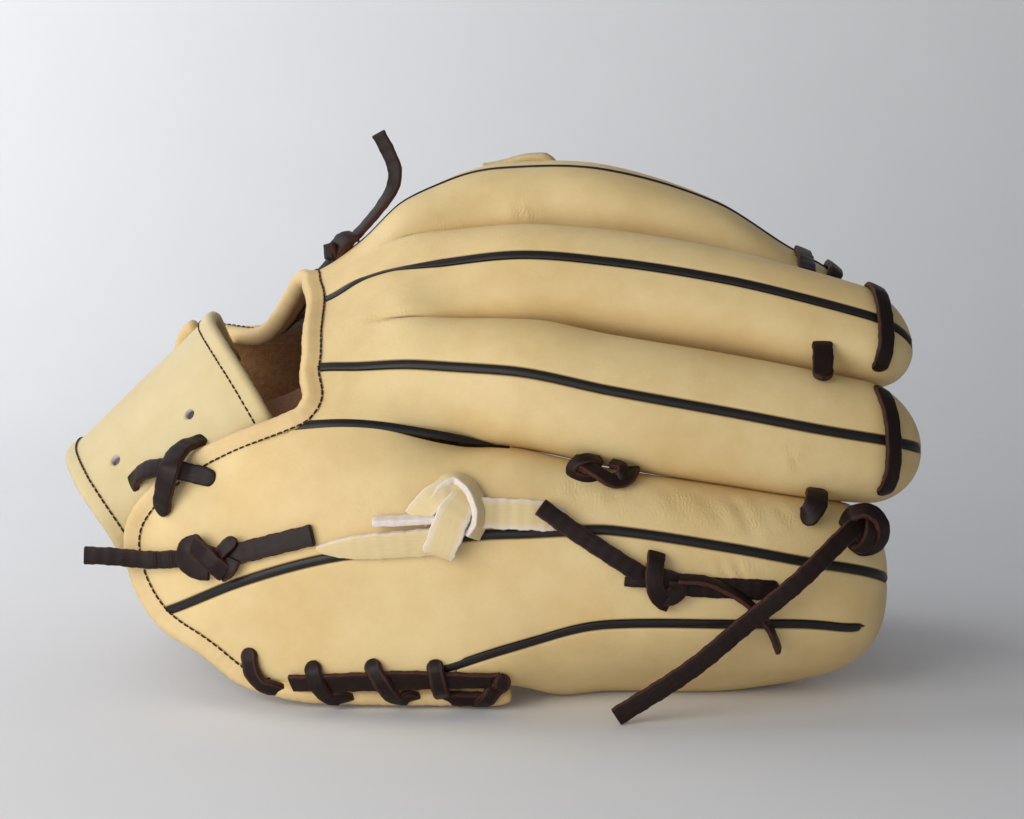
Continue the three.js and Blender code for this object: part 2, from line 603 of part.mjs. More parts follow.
// Rolled binding along the cut edge of the back leather, between two places across the lines; the
// panels' columns are TOP_STEPS to a line, and the binding follows the straight edges between them
function edgeBinding(from, to, extra = []) {
  const way = Math.sign(to - from);
  const columns = [];
  const [first, last] = [Math.floor(from * TOP_STEPS * way) + 1, to * TOP_STEPS * way];
  for (let k = first; k < last; k += 1) columns.push(k / TOP_STEPS * way);
  const places = [from, ...columns, to];
  const edgeAt = (at) => spanned(BACK_LINES, startOf(BACK_LINES, at), at);
  const onChord = (at) => {
    const low = Math.floor(at * TOP_STEPS) / TOP_STEPS;
    return edgeAt(low).lerp(edgeAt(low + 1 / TOP_STEPS), (at - low) * TOP_STEPS);
  };
  const edge = places.map(onChord);
  const path = [];
  const faces = [];
  places.forEach((at, i) => {
    const x = edge[i].x;
    const inward = spanned(BACK_LINES, x + 1, at).sub(spanned(BACK_LINES, x, at));
    const [behind, ahead] = [edge[Math.max(i - 1, 0)], edge[Math.min(i + 1, places.length - 1)]];
    const tangent = ahead.clone().sub(behind).normalize();
    const outward = inward.addScaledVector(tangent, -inward.dot(tangent)).normalize().negate();
    const normal = spanned(BACK_LINES, x, at + 0.05).sub(spanned(BACK_LINES, x, at - 0.05))
      .cross(new THREE.Vector3(-1, 0, 0)).normalize();
    const middle = edge[i].clone().addScaledVector(outward, BINDING_RADIUS + BINDING_CLEAR);
    path.push(middle.addScaledVector(normal, -LEATHER / 2));
    faces.push(normal);
  });
  for (const point of extra) {
    path.push(new THREE.Vector3(point.x, point.y, point.z ?? FLOOR_BINDING_Z));
    faces.push(new THREE.Vector3(0, 0, 1));
  }
  return sweep(stationsOn(path, BINDING_RADIUS, BINDING_RADIUS, (i) => faces[i]), 8, Math.PI / 8);
}

// Binding along the cut edge of the palm leather at the wrist
function palmBinding(from, to) {
  const places = evenly(from, to, (to - from) * FRONT_STEPS);
  const surface = (x, at) => spanned(PALM_LINES, x, at);
  const outward = new THREE.Vector3(-PALM_BINDING_RADIUS - BINDING_CLEAR, 0, 0);
  const path = places.map((at) => surface(startOf(PALM_LINES, at), at).add(outward));
  const up = places.map((at) => normalAt(surface, startOf(PALM_LINES, at), at, -1));
  path.forEach((point, i) => point.addScaledVector(up[i], -PALM_LEATHER / 2));
  return sweep(stationsOn(path, PALM_BINDING_RADIUS, PALM_BINDING_RADIUS, (i) => up[i]), 6);
}

// Piping along one of the lines across the back of the hand
function seamPiping(at, from, to) {
  const places = evenly(from, to, WELT_STEPS);
  const surface = (x, s) => spanned(BACK_LINES, x, s);
  const normals = places.map((x) => normalAt(surface, x, at, 1));
  const path = places.map((x, i) => surface(x, at).addScaledVector(normals[i], -WELT_SUNK));
  return sweep(stationsOn(path, WELT_RADIUS, WELT_RADIUS, (i) => normals[i]), 5, Math.PI / 2);
}

// The wrist strap arches over the back of the wrist, from inside the near wing to inside the far one
const STRAP_ROWS = [
  { at: 0, leftX: -125, leftY: -32, leftZ: 46, rightX: -76, rightY: -39, rightZ: 86 },
  { at: 1, leftX: -130, leftY: -35.5, leftZ: 56, rightX: -80, rightY: -44.3, rightZ: 96.5 },
  { at: 2, leftX: -137, leftY: -34, leftZ: 64, rightX: -85.5, rightY: -39.5, rightZ: 107 },
  { at: 3, leftX: -144, leftY: -26, leftZ: 70.5, rightX: -93, rightY: -27, rightZ: 117 },
  { at: 4, leftX: -150, leftY: -8, leftZ: 75.5, rightX: -100, rightY: -8, rightZ: 123.5 },
  { at: 5, leftX: -151, leftY: 16, leftZ: 75, rightX: -101, rightY: 16, rightZ: 123 },
  { at: 6, leftX: -144, leftY: 42, leftZ: 64, rightX: -97, rightY: 40, rightZ: 108 },
  { at: 7, leftX: -132, leftY: 58, leftZ: 48, rightX: -88, rightY: 56, rightZ: 92 },
];

function strapPoint(at, across) {
  const row = valueAt(STRAP_ROWS, at, 'at');
  const left = new THREE.Vector3(row.leftX, row.leftY, row.leftZ);
  return left.lerp(new THREE.Vector3(row.rightX, row.rightY, row.rightZ), across);
}

const strapNormal = (at) => strapPoint(at, 1).sub(strapPoint(at, 0))
  .cross(strapPoint(at + 0.1, 0.5).sub(strapPoint(at - 0.1, 0.5))).normalize();

function wristStrap() {
  const places = evenly(0, STRAP_ROWS.length - 1, STRAP_STEPS);
  const half = strapPoint(3, 1).distanceTo(strapPoint(3, 0)) / 2 - STRAP_BINDING_RADIUS - CLEAR;
  const stations = places.map((at) => {
    const normal = strapNormal(at);
    return {
      centre: strapPoint(at, 0.5),
      wide: strapPoint(at, 0).sub(strapPoint(at, 1)).normalize().multiplyScalar(half * Math.SQRT2),
      thick: normal.multiplyScalar(STRAP_LEATHER / 2 * Math.SQRT2),
    };
  });
  return sweep(stations, 4, Math.PI / 4);
}

function strapBinding(across) {
  const places = evenly(0, STRAP_ROWS.length - 1, STRAP_STEPS);
  const middle = places.map((at) => strapPoint(at, 0.5));
  const reach = strapPoint(3, 1).distanceTo(strapPoint(3, 0)) / 2;
  const path = places.map((at, i) => strapPoint(at, across).sub(middle[i]).setLength(reach).add(middle[i]));
  const normals = places.map(strapNormal);
  const stations = stationsOn(path, STRAP_BINDING_RADIUS, STRAP_BINDING_RADIUS, (i) => normals[i]);
  return sweep(stations, 8, Math.PI / 8);
}

// The closed web between the index stall and the thumb: a runs from index to thumb, b from base to rim
function webSurface(x, a) {
  const b = clamp((x - WEB_FROM_X) / (WEB_TO_X - WEB_FROM_X), 0, 1);
  const thumbX = lerp(WEB_THUMB_FROM_X, WEB_THUMB_TO_X, b);
  const indexX = Math.max(x, CROTCH_X);
  const byIndex = stallPoint(STALLS.index, indexX, WEB_INDEX_ANGLE).add(WEB_OFF_SKIN).setX(x);
  byIndex.z += WEB_LOBE * (1 - smooth(x, WEB_LOBE_TO_X - WEB_LOBE_FALL, WEB_LOBE_TO_X));
  const byThumb = stallPoint(STALLS.thumb, Math.max(thumbX, CROTCH_X), WEB_THUMB_ANGLE);
  byThumb.add(WEB_OFF_SKIN).setX(thumbX);
  return byIndex.lerp(byThumb, a).addScaledVector(WEB_OUT, 4 * a * (1 - a) * WEB_SWELL);
}

// A lace lying on the web, between two lengths along it
function webLace(a, from, to) {
  const places = evenly(from, to, WEB_STEPS);
  const normals = places.map((x) => normalAt(webSurface, x, a, 1));
  const path = places.map((x, i) => webSurface(x, a).addScaledVector(normals[i], LACE_LIFT));
  return band(path, LACE_WIDTH, LACE_THICK, (i) => normals[i]);
}

function webPanel(from, to) {
  const sheet = new Sheet();
  addCells(sheet, {
    surface: webSurface,
    xAt: (i) => lerp(WEB_FROM_X, WEB_TO_X, i / WEB_STEPS),
    rowsFrom: 0,
    rowsTo: WEB_STEPS,
    columns: evenly(from, to, 3),
    flip: 1,
    key: (i, j) => `${i}_${j}`,
  });
  return sheet.thicken(WEB_LEATHER);
}

// The cloth-backed lining on the hand's side of the palm, which shows through the wrist opening
function palmLining() {
  const sheet = new Sheet();
  const under = PALM_LEATHER + CLEAR;
  const surface = (x, at) => spanned(PALM_LINES, x, at);
  const lifted = (x, at) => surface(x, at).addScaledVector(normalAt(surface, x, at, -1), -under);
  addCells(sheet, {
    surface: lifted,
    xAt: (i, at) => {
      const start = startOf(PALM_LINES, at);
      return lerp(start, CROTCH_X, i / HAND_STEPS) + (i === 0 ? LINING_INSET : 0);
    },
    rowsFrom: 0,
    rowsTo: LINING_ROWS,
    columns: evenly(1 / FRONT_STEPS, 6 - 1 / FRONT_STEPS, 6 * FRONT_STEPS - 2),
    flip: -1,
    key: (i, j) => `${i}_${j}`,
  });
  return sheet.thicken(LINING);
}

// A lace's route: each row lies on a skin at x and t or on the strap, with its middle lifted off it, or
// stands free at x, y, z; the flat side is turned the way the skin faces, or the way the row says
function lace(rows, wide = LACE_WIDTH) {
  const spots = rows.map((row) => {
    if (row.strap !== undefined) {
      const face = strapNormal(row.strap);
      return { point: strapPoint(row.strap, row.across).addScaledVector(face, row.lift), face };
    }
    if (row.on === undefined) {
      return { point: new THREE.Vector3(row.x, row.y, row.z), face: new THREE.Vector3(...row.face) };
    }
    const half = HALVES[row.on];
    const surface = half ? halfSurface(half) : pinkySideSurface;
    const face = normalAt(surface, row.x, Math.max(row.t, STEP_T), half?.side === 'high' ? 1 : -1);
    return { point: surface(row.x, row.t).addScaledVector(face, row.lift ?? LACE_LIFT), face };
  });
  const curve = new THREE.CatmullRomCurve3(spots.map(({ point }) => point), false, 'centripetal');
  const faces = new THREE.CatmullRomCurve3(spots.map(({ face }) => face), false, 'centripetal');
  const places = evenly(0, 1, (rows.length - 1) * 2);
  const path = places.map((place) => curve.getPoint(place));
  return band(path, wide, LACE_THICK, (i) => faces.getPoint(places[i]));
}

// The lump of a knot, flattened towards the skin it sits on
function knotLump({ on, x, t, lift, size, ...free }) {
  const lump = new THREE.SphereGeometry(1, 8, 6).scale(size[0], size[1], size[2]);
  if (on === undefined) return lump.translate(x, free.y, free.z);
  const half = HALVES[on];
  const surface = half ? halfSurface(half) : pinkySideSurface;
  const face = normalAt(surface, x, t, half?.side === 'high' ? 1 : -1);
  const middle = surface(x, t).addScaledVector(face, lift);
  return lump.translate(middle.x, middle.y, middle.z);
}

// Overlapping closed shapes joined into one body
function joined(geometries) {
  const solids = geometries.map((geometry) => {
    const bare = geometry.clone();
    bare.deleteAttribute('normal');
    bare.deleteAttribute('uv');
    const merged = BufferGeometryUtils.mergeVertices(bare, 1e-4);
    return new wasm.Manifold(new wasm.Mesh({
      numProp: 3,
      vertProperties: merged.attributes.position.array,
      triVerts: new Uint32Array(merged.index.array),
    }));
  });
  const { vertProperties, triVerts } = solids.reduce((whole, next) => whole.add(next)).getMesh();
  const geometry = new THREE.BufferGeometry();
  geometry.setAttribute('position', new THREE.BufferAttribute(vertProperties, 3));
  geometry.setIndex(new THREE.BufferAttribute(triVerts, 1));
  return geometry;
}

// How far out the little finger's side stands at a height
function pinkySideY(x, z) {
  let [low, high] = [0, 2];
  for (let i = 0; i < 20; i += 1) {
    const half = (low + high) / 2;
    if (pinkySideSurface(x, half).z > z) low = half;
    else high = half;
  }
  return pinkySideSurface(x, low).y;
}

const { pinky, ring, middle, index, thumb } = STALLS;
const HALVES = {
  pinkyUnder: {
    stall: pinky,
    side: 'low',
    crestAt: 1,
    valleyAt: 0,
    from: 'lower',
    startAt: () => HEEL_SEAM_X + SEAM_CLEAR * 2,
  },
  pinkyBack: { stall: pinky, side: 'high', crestAt: 2, valleyAt: 3, from: 'upper' },
  ringLow: { stall: ring, side: 'low', crestAt: 4, valleyAt: 3 },
  ringHigh: { stall: ring, beside: middle, side: 'high', crestAt: 4, valleyAt: 5 },
  middleLow: { stall: middle, beside: ring, side: 'low', crestAt: 6, valleyAt: 5 },
  middleHigh: { stall: middle, beside: index, side: 'high', crestAt: 6, valleyAt: 7 },
  indexLow: { stall: index, beside: middle, side: 'low', crestAt: 8, valleyAt: 7 },
  indexHigh: { stall: index, side: 'high', crestAt: 8, valleyAt: 9 },
  thumbLow: { stall: thumb, side: 'low', crestAt: 11, valleyAt: 10, extend: extendThumb },
  thumbHigh: {
    stall: thumb,
    side: 'high',
    crestAt: 11,
    valleyAt: 12,
    startAt: (t) => startOf(BACK_LINES, 11 + Math.min(t, 1)) + SEAM_CLEAR,
  },
};

const group = new THREE.Group();

function add(name, geometry, look) {
  const mesh = new THREE.Mesh(geometry, new THREE.MeshStandardMaterial(look));
  mesh.name = name;
  group.add(mesh);
}

add('pinky_under_panel', backPanel([HALVES.pinkyUnder]), LEATHER_CREAM);
add('pinky_side_panel', pinkySidePanel(), LEATHER_CREAM);
add('pinky_back_panel', backPanel([HALVES.pinkyBack]), LEATHER_CREAM);
add('ring_half_panel', backPanel([HALVES.ringLow]), LEATHER_CREAM);
add('ring_middle_panel', backPanel([HALVES.ringHigh, HALVES.middleLow]), LEATHER_CREAM);
add('middle_index_panel', backPanel([HALVES.middleHigh, HALVES.indexLow]), LEATHER_CREAM);
add('index_side_panel', backPanel([HALVES.indexHigh]), LEATHER_CREAM);
add('thumb_back_panel', backPanel([HALVES.thumbLow]), LEATHER_CREAM);
add('thumb_side_panel', backPanel([HALVES.thumbHigh]), LEATHER_CREAM);
add('palm_shell', palmShell(), LEATHER_CREAM);

const WELTS = [
  { name: 'pinky_lower_welt', half: { ...HALVES.pinkyUnder }, from: HEEL_SEAM_X + 1, to: 130 },
  { name: 'pinky_upper_welt', half: HALVES.pinkyBack, from: -110, to: 130 },
  { name: 'ring_welt', half: HALVES.ringLow, from: -57.5, to: 142 },
  { name: 'middle_welt', half: HALVES.middleLow, from: -57.5, to: 141 },
  { name: 'index_welt', half: HALVES.indexLow, from: -61, to: 128 },
  { name: 'thumb_welt', half: HALVES.thumbLow, from: -113, to: 92 },
];
for (const { name, half, from, to } of WELTS) add(name, welt(half, { from, to }), LEATHER_DARK);
add('ring_side_welt', seamPiping(3, -61, -2), LEATHER_DARK);
add('web_seam_welt', seamPiping(9, -76, -8), LEATHER_DARK);

const heelEdge = [{ x: -69, y: -66.5, z: 4.2 }, { x: -60, y: -68.5 }, { x: -36, y: -70 }, { x: -6, y: -69 }];
const thumbHeelEdge = [
  { x: -74, y: 76, z: 4.4 }, { x: -64, y: 77.5 }, { x: -50, y: 78.5 }, { x: -30, y: 79 },
];
add('back_opening_binding', edgeBinding(2.62, 9.7), LEATHER_CREAM);
add('heel_binding', edgeBinding(2.5, 0.4, heelEdge), LEATHER_CREAM);
add('thumb_heel_binding', edgeBinding(9.85, 11.9, thumbHeelEdge), LEATHER_CREAM);
add('palm_heel_binding', palmBinding(0.25, 5.75), LEATHER_CREAM);
add('wrist_strap', wristStrap(), LEATHER_STRAP);
add('strap_binding_wrist', strapBinding(0), LEATHER_STRAP);
add('strap_binding_finger', strapBinding(1), LEATHER_STRAP);
add('palm_lining', palmLining(), LEATHER_LINING);
add('web_panel_index', webPanel(0, 0.485), LEATHER_CREAM);
add('web_panel_thumb', webPanel(0.515, 1), LEATHER_CREAM);

// Rawhide laces: a route, and a knot's lump where it is tied
const LACES = [
  {
    name: 'heel_knot_lace',
    route: [
      { x: -139, y: -56.5, z: 49.7, face: [-0.3, -0.95, 0.1] },
      { x: -128, y: -55.5, z: 50.6, face: [-0.4, -0.9, 0.1] },
      { on: 'pinkyBack', x: -115, t: 0.4, lift: 5.5 }, { on: 'pinkyBack', x: -104, t: 0.32, lift: 3.2 },
      { on: 'pinkyBack', x: -92, t: 0.28, lift: 4.2 }, { on: 'pinkyBack', x: -77, t: 0.245, lift: 3.6 },
      { on: 'pinkyBack', x: -59.8, t: 0.263 },
    ],
    knots: [{ on: 'pinkyBack', x: -91, t: 0.27, lift: 5.4, size: [9.5, 4, 6.6] }],
  },
  {
    name: 'finger_strap_lace',
    look: LEATHER_STRAP,
    route: [
      { on: 'pinkyBack', x: 14, t: 0.31 }, { on: 'pinkyBack', x: 5, t: 0.29 },
      { on: 'pinkyBack', x: -4, t: 0.27 },
      { on: 'pinkyBack', x: -14, t: 0.25, lift: 3 }, { on: 'pinkyBack', x: -25, t: 0.1, lift: 3 },
      { on: 'pinkyBack', x: -40, t: 0.1, lift: 2.4 }, { on: 'pinkyBack', x: -57.5, t: 0.1, lift: 2.2 },
    ],
    more: [[
      { on: 'pinkyBack', x: -18, t: 0.26, lift: 4.4 }, { on: 'pinkyBack', x: -28, t: 0.262, lift: 3.4 },
      { on: 'pinkyBack', x: -38.5, t: 0.264, lift: 2.8 },
    ]],
    knots: [{ on: 'pinkyBack', x: -17.5, t: 0.2, lift: 5.4, size: [9, 4.6, 11] }],
  },
  {
    name: 'thumb_knot_lace',
    route: [
      { x: -58, y: 8, z: 152, face: [-0.5, -0.6, 0.6] }, { x: -50, y: 8, z: 157, face: [-0.6, -0.4, 0.7] },
      { x: -42, y: 10, z: 163.5, face: [-0.7, -0.5, 0.5] },
      { x: -36.5, y: 11.5, z: 171, face: [-0.9, -0.4, 0.2] },
      { x: -34.7, y: 13, z: 178.8, face: [-0.97, -0.3, 0] },
      { x: -36.8, y: 14, z: 184.8, face: [-0.9, -0.4, -0.1] },
      { x: -40.2, y: 14.5, z: 189.6, face: [-0.85, -0.5, -0.3] },
    ],
    wide: 4.4,
    knots: [{ x: -58, y: 8, z: 151.6, size: [4.6, 4.4, 5] }],
  },
  {
    name: 'pinky_side_lace',
    route: [
      { on: 'pinkyBack', x: 19.5, t: 0.26 }, { on: 'pinkyBack', x: 26, t: 0.1, lift: 2.2 },
      { on: 'pinkySide', x: 34, t: 0.1, lift: 3.4 }, { on: 'pinkySide', x: 45, t: 0.42 },
      { on: 'pinkySide', x: 56, t: 0.56, lift: 3 }, { on: 'pinkySide', x: 70, t: 0.6 },
      { on: 'pinkySide', x: 84, t: 0.6 }, { on: 'pinkySide', x: 95, t: 0.56 },
    ],
    knots: [{ on: 'pinkySide', x: 55.5, t: 0.6, lift: 4.6, size: [6.6, 4, 7.6] }],
  },
  {
    name: 'pinky_tip_lace',
    route: [
      { x: 124, y: -69, z: 57, face: [0.3, -0.9, 0.3] }, { x: 112, y: -77.5, z: 49, face: [0.2, -0.97, 0.1] },
      { x: 96, y: -81, z: 38, face: [0.15, -0.98, 0.1] }, { x: 70, y: -84.5, z: 22, face: [0.1, -0.99, 0] },
      { x: 41, y: -86.5, z: 4.4, face: [0.1, -0.99, 0] },
    ],
    knots: [{ x: 126, y: -64.4, z: 58, size: [6.8, 4.6, 7.4] }],
  },
  {
    name: 'heel_lace_bar',
    route: [
      { on: 'pinkySide', x: -65, t: 1.16 }, { on: 'pinkySide', x: -48, t: 1.16 },
      { on: 'pinkySide', x: -31, t: 1.16 },
      { on: 'pinkySide', x: -16, t: 1.2 }, { on: 'pinkySide', x: -1, t: 1.26, lift: 2.6 },
    ],
  },
  {
    name: 'wing_lace_over',
    route: [
      { strap: 1.8, across: 0.74, lift: 2 }, { x: -103, y: -59.5, z: 91.5, face: [-0.35, -0.85, 0.35] },
      { x: -108.5, y: -62, z: 85, face: [-0.4, -0.85, 0.3] },
      { x: -111.5, y: -60.3, z: 77, face: [-0.45, -0.85, 0.2] },
      { on: 'pinkyBack', x: -112.5, t: 0.56, lift: 1.6 }, { on: 'pinkyBack', x: -112.5, t: 0.48, lift: 1.5 },
    ],
  },
  {
    name: 'ring_pinky_lace',
    wide: 17,
    route: [
      { x: 35.5, y: -61.5, z: 85.6, face: [0, 0, 1] }, { x: 35.5, y: -66, z: 86.5, face: [0, -0.5, 0.9] },
      { x: 35.5, y: -69.3, z: 84.6, face: [0, -1, 0] }, { x: 35.5, y: -67.5, z: 82, face: [0, -0.5, -0.9] },
      { x: 35.5, y: -61.5, z: 82.2, face: [0, 0, -1] },
    ],
  },
  {
    name: 'wing_lace_under',
    route: [
      { strap: 2.35, across: 0.3, lift: 2.2 }, { x: -120.5, y: -51, z: 80.5, face: [-0.5, -0.8, 0.3] },
      { x: -114, y: -55, z: 82.2, face: [-0.45, -0.8, 0.4] },
      { x: -106.5, y: -57, z: 79.5, face: [-0.4, -0.8, 0.4] },
      { on: 'pinkyBack', x: -98, t: 0.64, lift: 1.7 }, { on: 'pinkyBack', x: -94, t: 0.62, lift: 1.6 },
    ],
  },
  {
    name: 'middle_tip_lace',
    route: [
      { on: 'middleHigh', x: 133.6, t: 0.7 }, { on: 'middleHigh', x: 133.6, t: 0.35, lift: 2 },
      { on: 'middleHigh', x: 133.6, t: 0, lift: 2.8 }, { on: 'middleLow', x: 133.6, t: 0.35, lift: 2 },
      { on: 'middleLow', x: 133.6, t: 0.75 },
    ],
  },
  {
    name: 'ring_tip_lace',
    route: [
      { on: 'ringHigh', x: 134.6, t: 0.6 }, { on: 'ringHigh', x: 134.4, t: 0.3, lift: 2 },
      { on: 'ringHigh', x: 134, t: 0, lift: 2.8 }, { on: 'ringLow', x: 134, t: 0.3, lift: 2 },
      { on: 'ringLow', x: 134, t: 0.6 },
    ],
  },
  {
    name: 'index_tip_lace',
    route: [
      { on: 'indexLow', x: 121, t: 0.55 }, { on: 'indexLow', x: 121, t: 0.28, lift: 2 },
      { on: 'indexLow', x: 121, t: 0, lift: 2.8 }, { on: 'indexHigh', x: 121, t: 0.28, lift: 2 },
      { on: 'indexHigh', x: 121, t: 0.6 },
    ],
  },
];
const WEB_LACES = [
  { name: 'web_index_lace', a: 0.1, from: 14, to: 92 },
  { name: 'web_middle_lace', a: 0.5, from: 2, to: 94 },
  { name: 'web_thumb_lace', a: 0.9, from: 8, to: 92 },
];
const HEEL_WRAPS = [
  { top: -79, foot: -70.5, z: 24 }, { top: -59, foot: -50, z: 21 }, { top: -39, foot: -29, z: 21.5 },
  { top: -19, foot: -14, z: 21.5 }, { top: 4.5, foot: -1.5, z: 19 },
];
HEEL_WRAPS.forEach(({ top, foot, z }, i) => LACES.push({
  name: `heel_lace_wrap_${i + 1}`,
  wide: WRAP_WIDTH,
  route: [
    { x: top, y: pinkySideY(top, z) - 1.8, z, face: [0, -1, 0.1] },
    { x: lerp(top, foot, 0.3), y: pinkySideY(top, z) - 4.6, z: z - 5, face: [0, -1, 0] },
    { x: lerp(top, foot, 0.8), y: pinkySideY(foot, 12) - 5.6, z: 9, face: [0, -1, -0.1] },
    { x: foot, y: pinkySideY(foot, 12) - 3.4, z: 3, face: [0, -1, -0.2] },
  ],
}));
// Short laces that cross the gap between two stalls near their tips
const GAP_LACES = [
  {
    name: 'ring_pinky_tip_lace', x: 108, wide: 8.6, rows: [
      { y: -62, z: 77.2, faceZ: -0.3 }, { y: -62.7, z: 73, faceZ: 0 }, { y: -63.2, z: 69, faceZ: 0.1 },
      { y: -64.3, z: 65.7, faceZ: 0.6 }, { y: -66.1, z: 63, faceZ: 0.7 }],
  },
  {
    name: 'middle_ring_tip_lace', x: 112.5, wide: 6.4, rows: [
      { y: -44, z: 120.4, faceZ: -0.1 }, { y: -45.8, z: 116.6, faceZ: 0.3 }, { y: -48.6, z: 113.7, faceZ: 1 },
      { y: -51.8, z: 111.5, faceZ: 1.4 }, { y: -54.2, z: 109.4, faceZ: 1.1 }],
  },
  {
    name: 'index_middle_tip_lace', x: 110.5, wide: 5.6, faceX: 0.42, rows: [
      { y: 6.2, z: 149, faceZ: 4 }, { y: -0.5, z: 147.3, faceZ: 1.8 }, { y: -5.4, z: 145.2, faceZ: 2 },
      { y: -11, z: 144.9, faceZ: 6 }, { y: -17, z: 145.2, faceZ: 9 }, { y: -22.4, z: 146.6, faceZ: 9 }],
  },
];
for (const { name, x, wide, faceX = 0, rows } of GAP_LACES) {
  const route = rows.map(({ y, z, faceZ }) => ({ x, y, z, face: [faceX * faceZ, -1, faceZ] }));
  LACES.push({ name, wide, route });
}
for (const { name, route, more = [], knots = [], look = LEATHER_DARK, wide } of LACES) {
  const pieces = [lace(route, wide), ...more.map((rows) => lace(rows)), ...knots.map(knotLump)];
  add(name, pieces.length > 1 ? joined(pieces) : pieces[0], look);
}

for (const { name, a, from, to } of WEB_LACES) add(name, webLace(a, from, to), LEATHER_DARK);

group.position.set(-CENTRE.x, -CENTRE.y, 0);
export default group;
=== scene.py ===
# Looks of a leather pitcher glove that lies pocket down like a low tent: fingers point along +X,
# the little finger faces the camera and the thumb is on the far side. The shape tables are in
# millimetres, in the measure of the part's source, and made meshes are in metres in the frame.
import math

import bmesh
import bpy
import numpy as np
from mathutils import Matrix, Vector


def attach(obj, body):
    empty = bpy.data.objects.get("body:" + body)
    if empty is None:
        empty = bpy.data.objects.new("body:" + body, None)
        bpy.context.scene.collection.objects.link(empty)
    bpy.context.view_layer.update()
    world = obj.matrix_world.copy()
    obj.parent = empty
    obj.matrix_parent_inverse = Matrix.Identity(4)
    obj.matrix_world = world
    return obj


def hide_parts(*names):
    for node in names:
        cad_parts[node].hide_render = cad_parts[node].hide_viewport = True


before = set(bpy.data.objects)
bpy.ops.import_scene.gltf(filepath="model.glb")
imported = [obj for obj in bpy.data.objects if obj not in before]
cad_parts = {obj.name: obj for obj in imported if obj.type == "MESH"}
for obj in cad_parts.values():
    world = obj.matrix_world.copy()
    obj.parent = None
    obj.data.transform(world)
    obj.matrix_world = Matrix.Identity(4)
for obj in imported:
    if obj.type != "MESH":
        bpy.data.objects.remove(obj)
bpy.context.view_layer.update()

MM = 0.001
TABLE_TO_FRAME = np.array([2.975, -3.115, 0.0])

# Driving sizes of the leather, in millimetres
LEATHER = 2.2
PALM_LEATHER = 2.6
STRAP_LEATHER = 2.8
WEB_LEATHER = 3.0
CELL = 1.35                  # size of a panel's mesh cells
SEAM_ROLL = 1.3              # radius with which a panel turns down into its seam
SEAM_INSET = 1.25            # from a seam's middle to the panel's edge
BINDING_RADIUS = 3.2
BINDING_GAP = 0.8
UNDER_BINDING = 3.5          # how far a panel runs on inside its binding
SETTLE = 1.2                 # how far the lowest leather is pressed down, and up to what height
SETTLE_HEIGHT = 9
LEATHER_OFF_FLOOR = 0.02
LACE_OFF_FLOOR = 0.03
LACE_WIDTH = 6.0
LACE_THICK = 2.2

# Shape of the hand and the stalls, as in the part's source
CROTCH_X = 6
VALLEY_FROM_X = -38
CROTCH_BLEND = 18
LOOP_POWER = 0.8
DEEP_EDGE = 1 + 38 / 90
FRONT_ANGLE = 45
HEEL_SEAM_X = -12
PALM_BLEND_X = -30
THUMB_SIDE_AT = 10
WEB_SEAM_AT = 9

# Sections along each stall, at lengths x: its crest (y, z), how many degrees the crest is turned up from
# the little finger's side, half its width and its depth, and for the little finger its two seams and its tuck
STALL_COLUMNS = ("x", "y", "z", "out", "half", "deep", "upper", "lower", "tuck")
STALLS = {
    "pinky": {"tip": 136, "round": 24, "blunt": 2.6, "rows": [
        (-40, -79, 48, 2, 40.2, 24, 73.5, 150, -8),
        (6, -79, 48, 2, 40.2, 24, 73.5, 122, -3),
        (24, -79, 43.1, 2, 41.6, 23.5, 66, 105, 13),
        (40, -79, 41.3, 2, 39.9, 23, 61, 99.5, 19),
        (80, -76, 38.1, 2, 36.8, 21.5, 64, 97, 18),
        (112, -69, 37, 1, 32.2, 19, 71, 100, 14),
        (136, -61, 38.6, 0, 28.4, 17, 79, 116, 8),
    ]},
    "ring": {"tip": 147.5, "round": 20, "rows": [
        (-40, -51, 114.6, 24, 21.4, 17),
        (6, -60, 114.8, 20, 22.5, 17.5),
        (40, -62.5, 108.4, 20, 22.5, 17),
        (80, -62, 101, 18, 22.5, 16.5),
        (112, -60, 94.6, 16, 21.8, 16),
        (147.5, -54, 88, 14, 19.5, 15),
    ]},
    "middle": {"tip": 146, "round": 18, "rows": [
        (-40, -20, 143.5, 44, 18.5, 17),
        (6, -30, 150.8, 38, 18.8, 17.5),
        (40, -34, 149, 36, 19, 17),
        (80, -36.5, 143, 36, 18.4, 16.5),
        (112, -38, 135.5, 36, 17.6, 16),
        (146, -37, 126, 36, 16.4, 15),
    ]},
    "index": {"tip": 133, "round": 18, "rows": [
        (-40, 10, 158, 72, 17.5, 16),
        (-14, 14, 174, 76, 17.5, 16.5),
        (6, 12, 178, 73, 17.2, 17),
        (40, 9, 177.4, 73, 16.8, 16.5),
        (80, 10, 165.5, 80, 16.2, 16),
        (107, 9, 149, 84, 15.8, 15.5),
        (133, 6, 136, 84, 15, 14.5),
    ]},
    "thumb": {"tip": 98, "round": 20, "rows": [
        (-40, 92, 40, 172, 36.4, 19),
        (6, 93, 35.8, 172, 33, 18),
        (40, 91, 31, 172, 28.4, 17),
        (75, 87, 28.4, 172, 26, 16),
        (98, 84, 27, 172, 24.5, 15),
    ]},
}

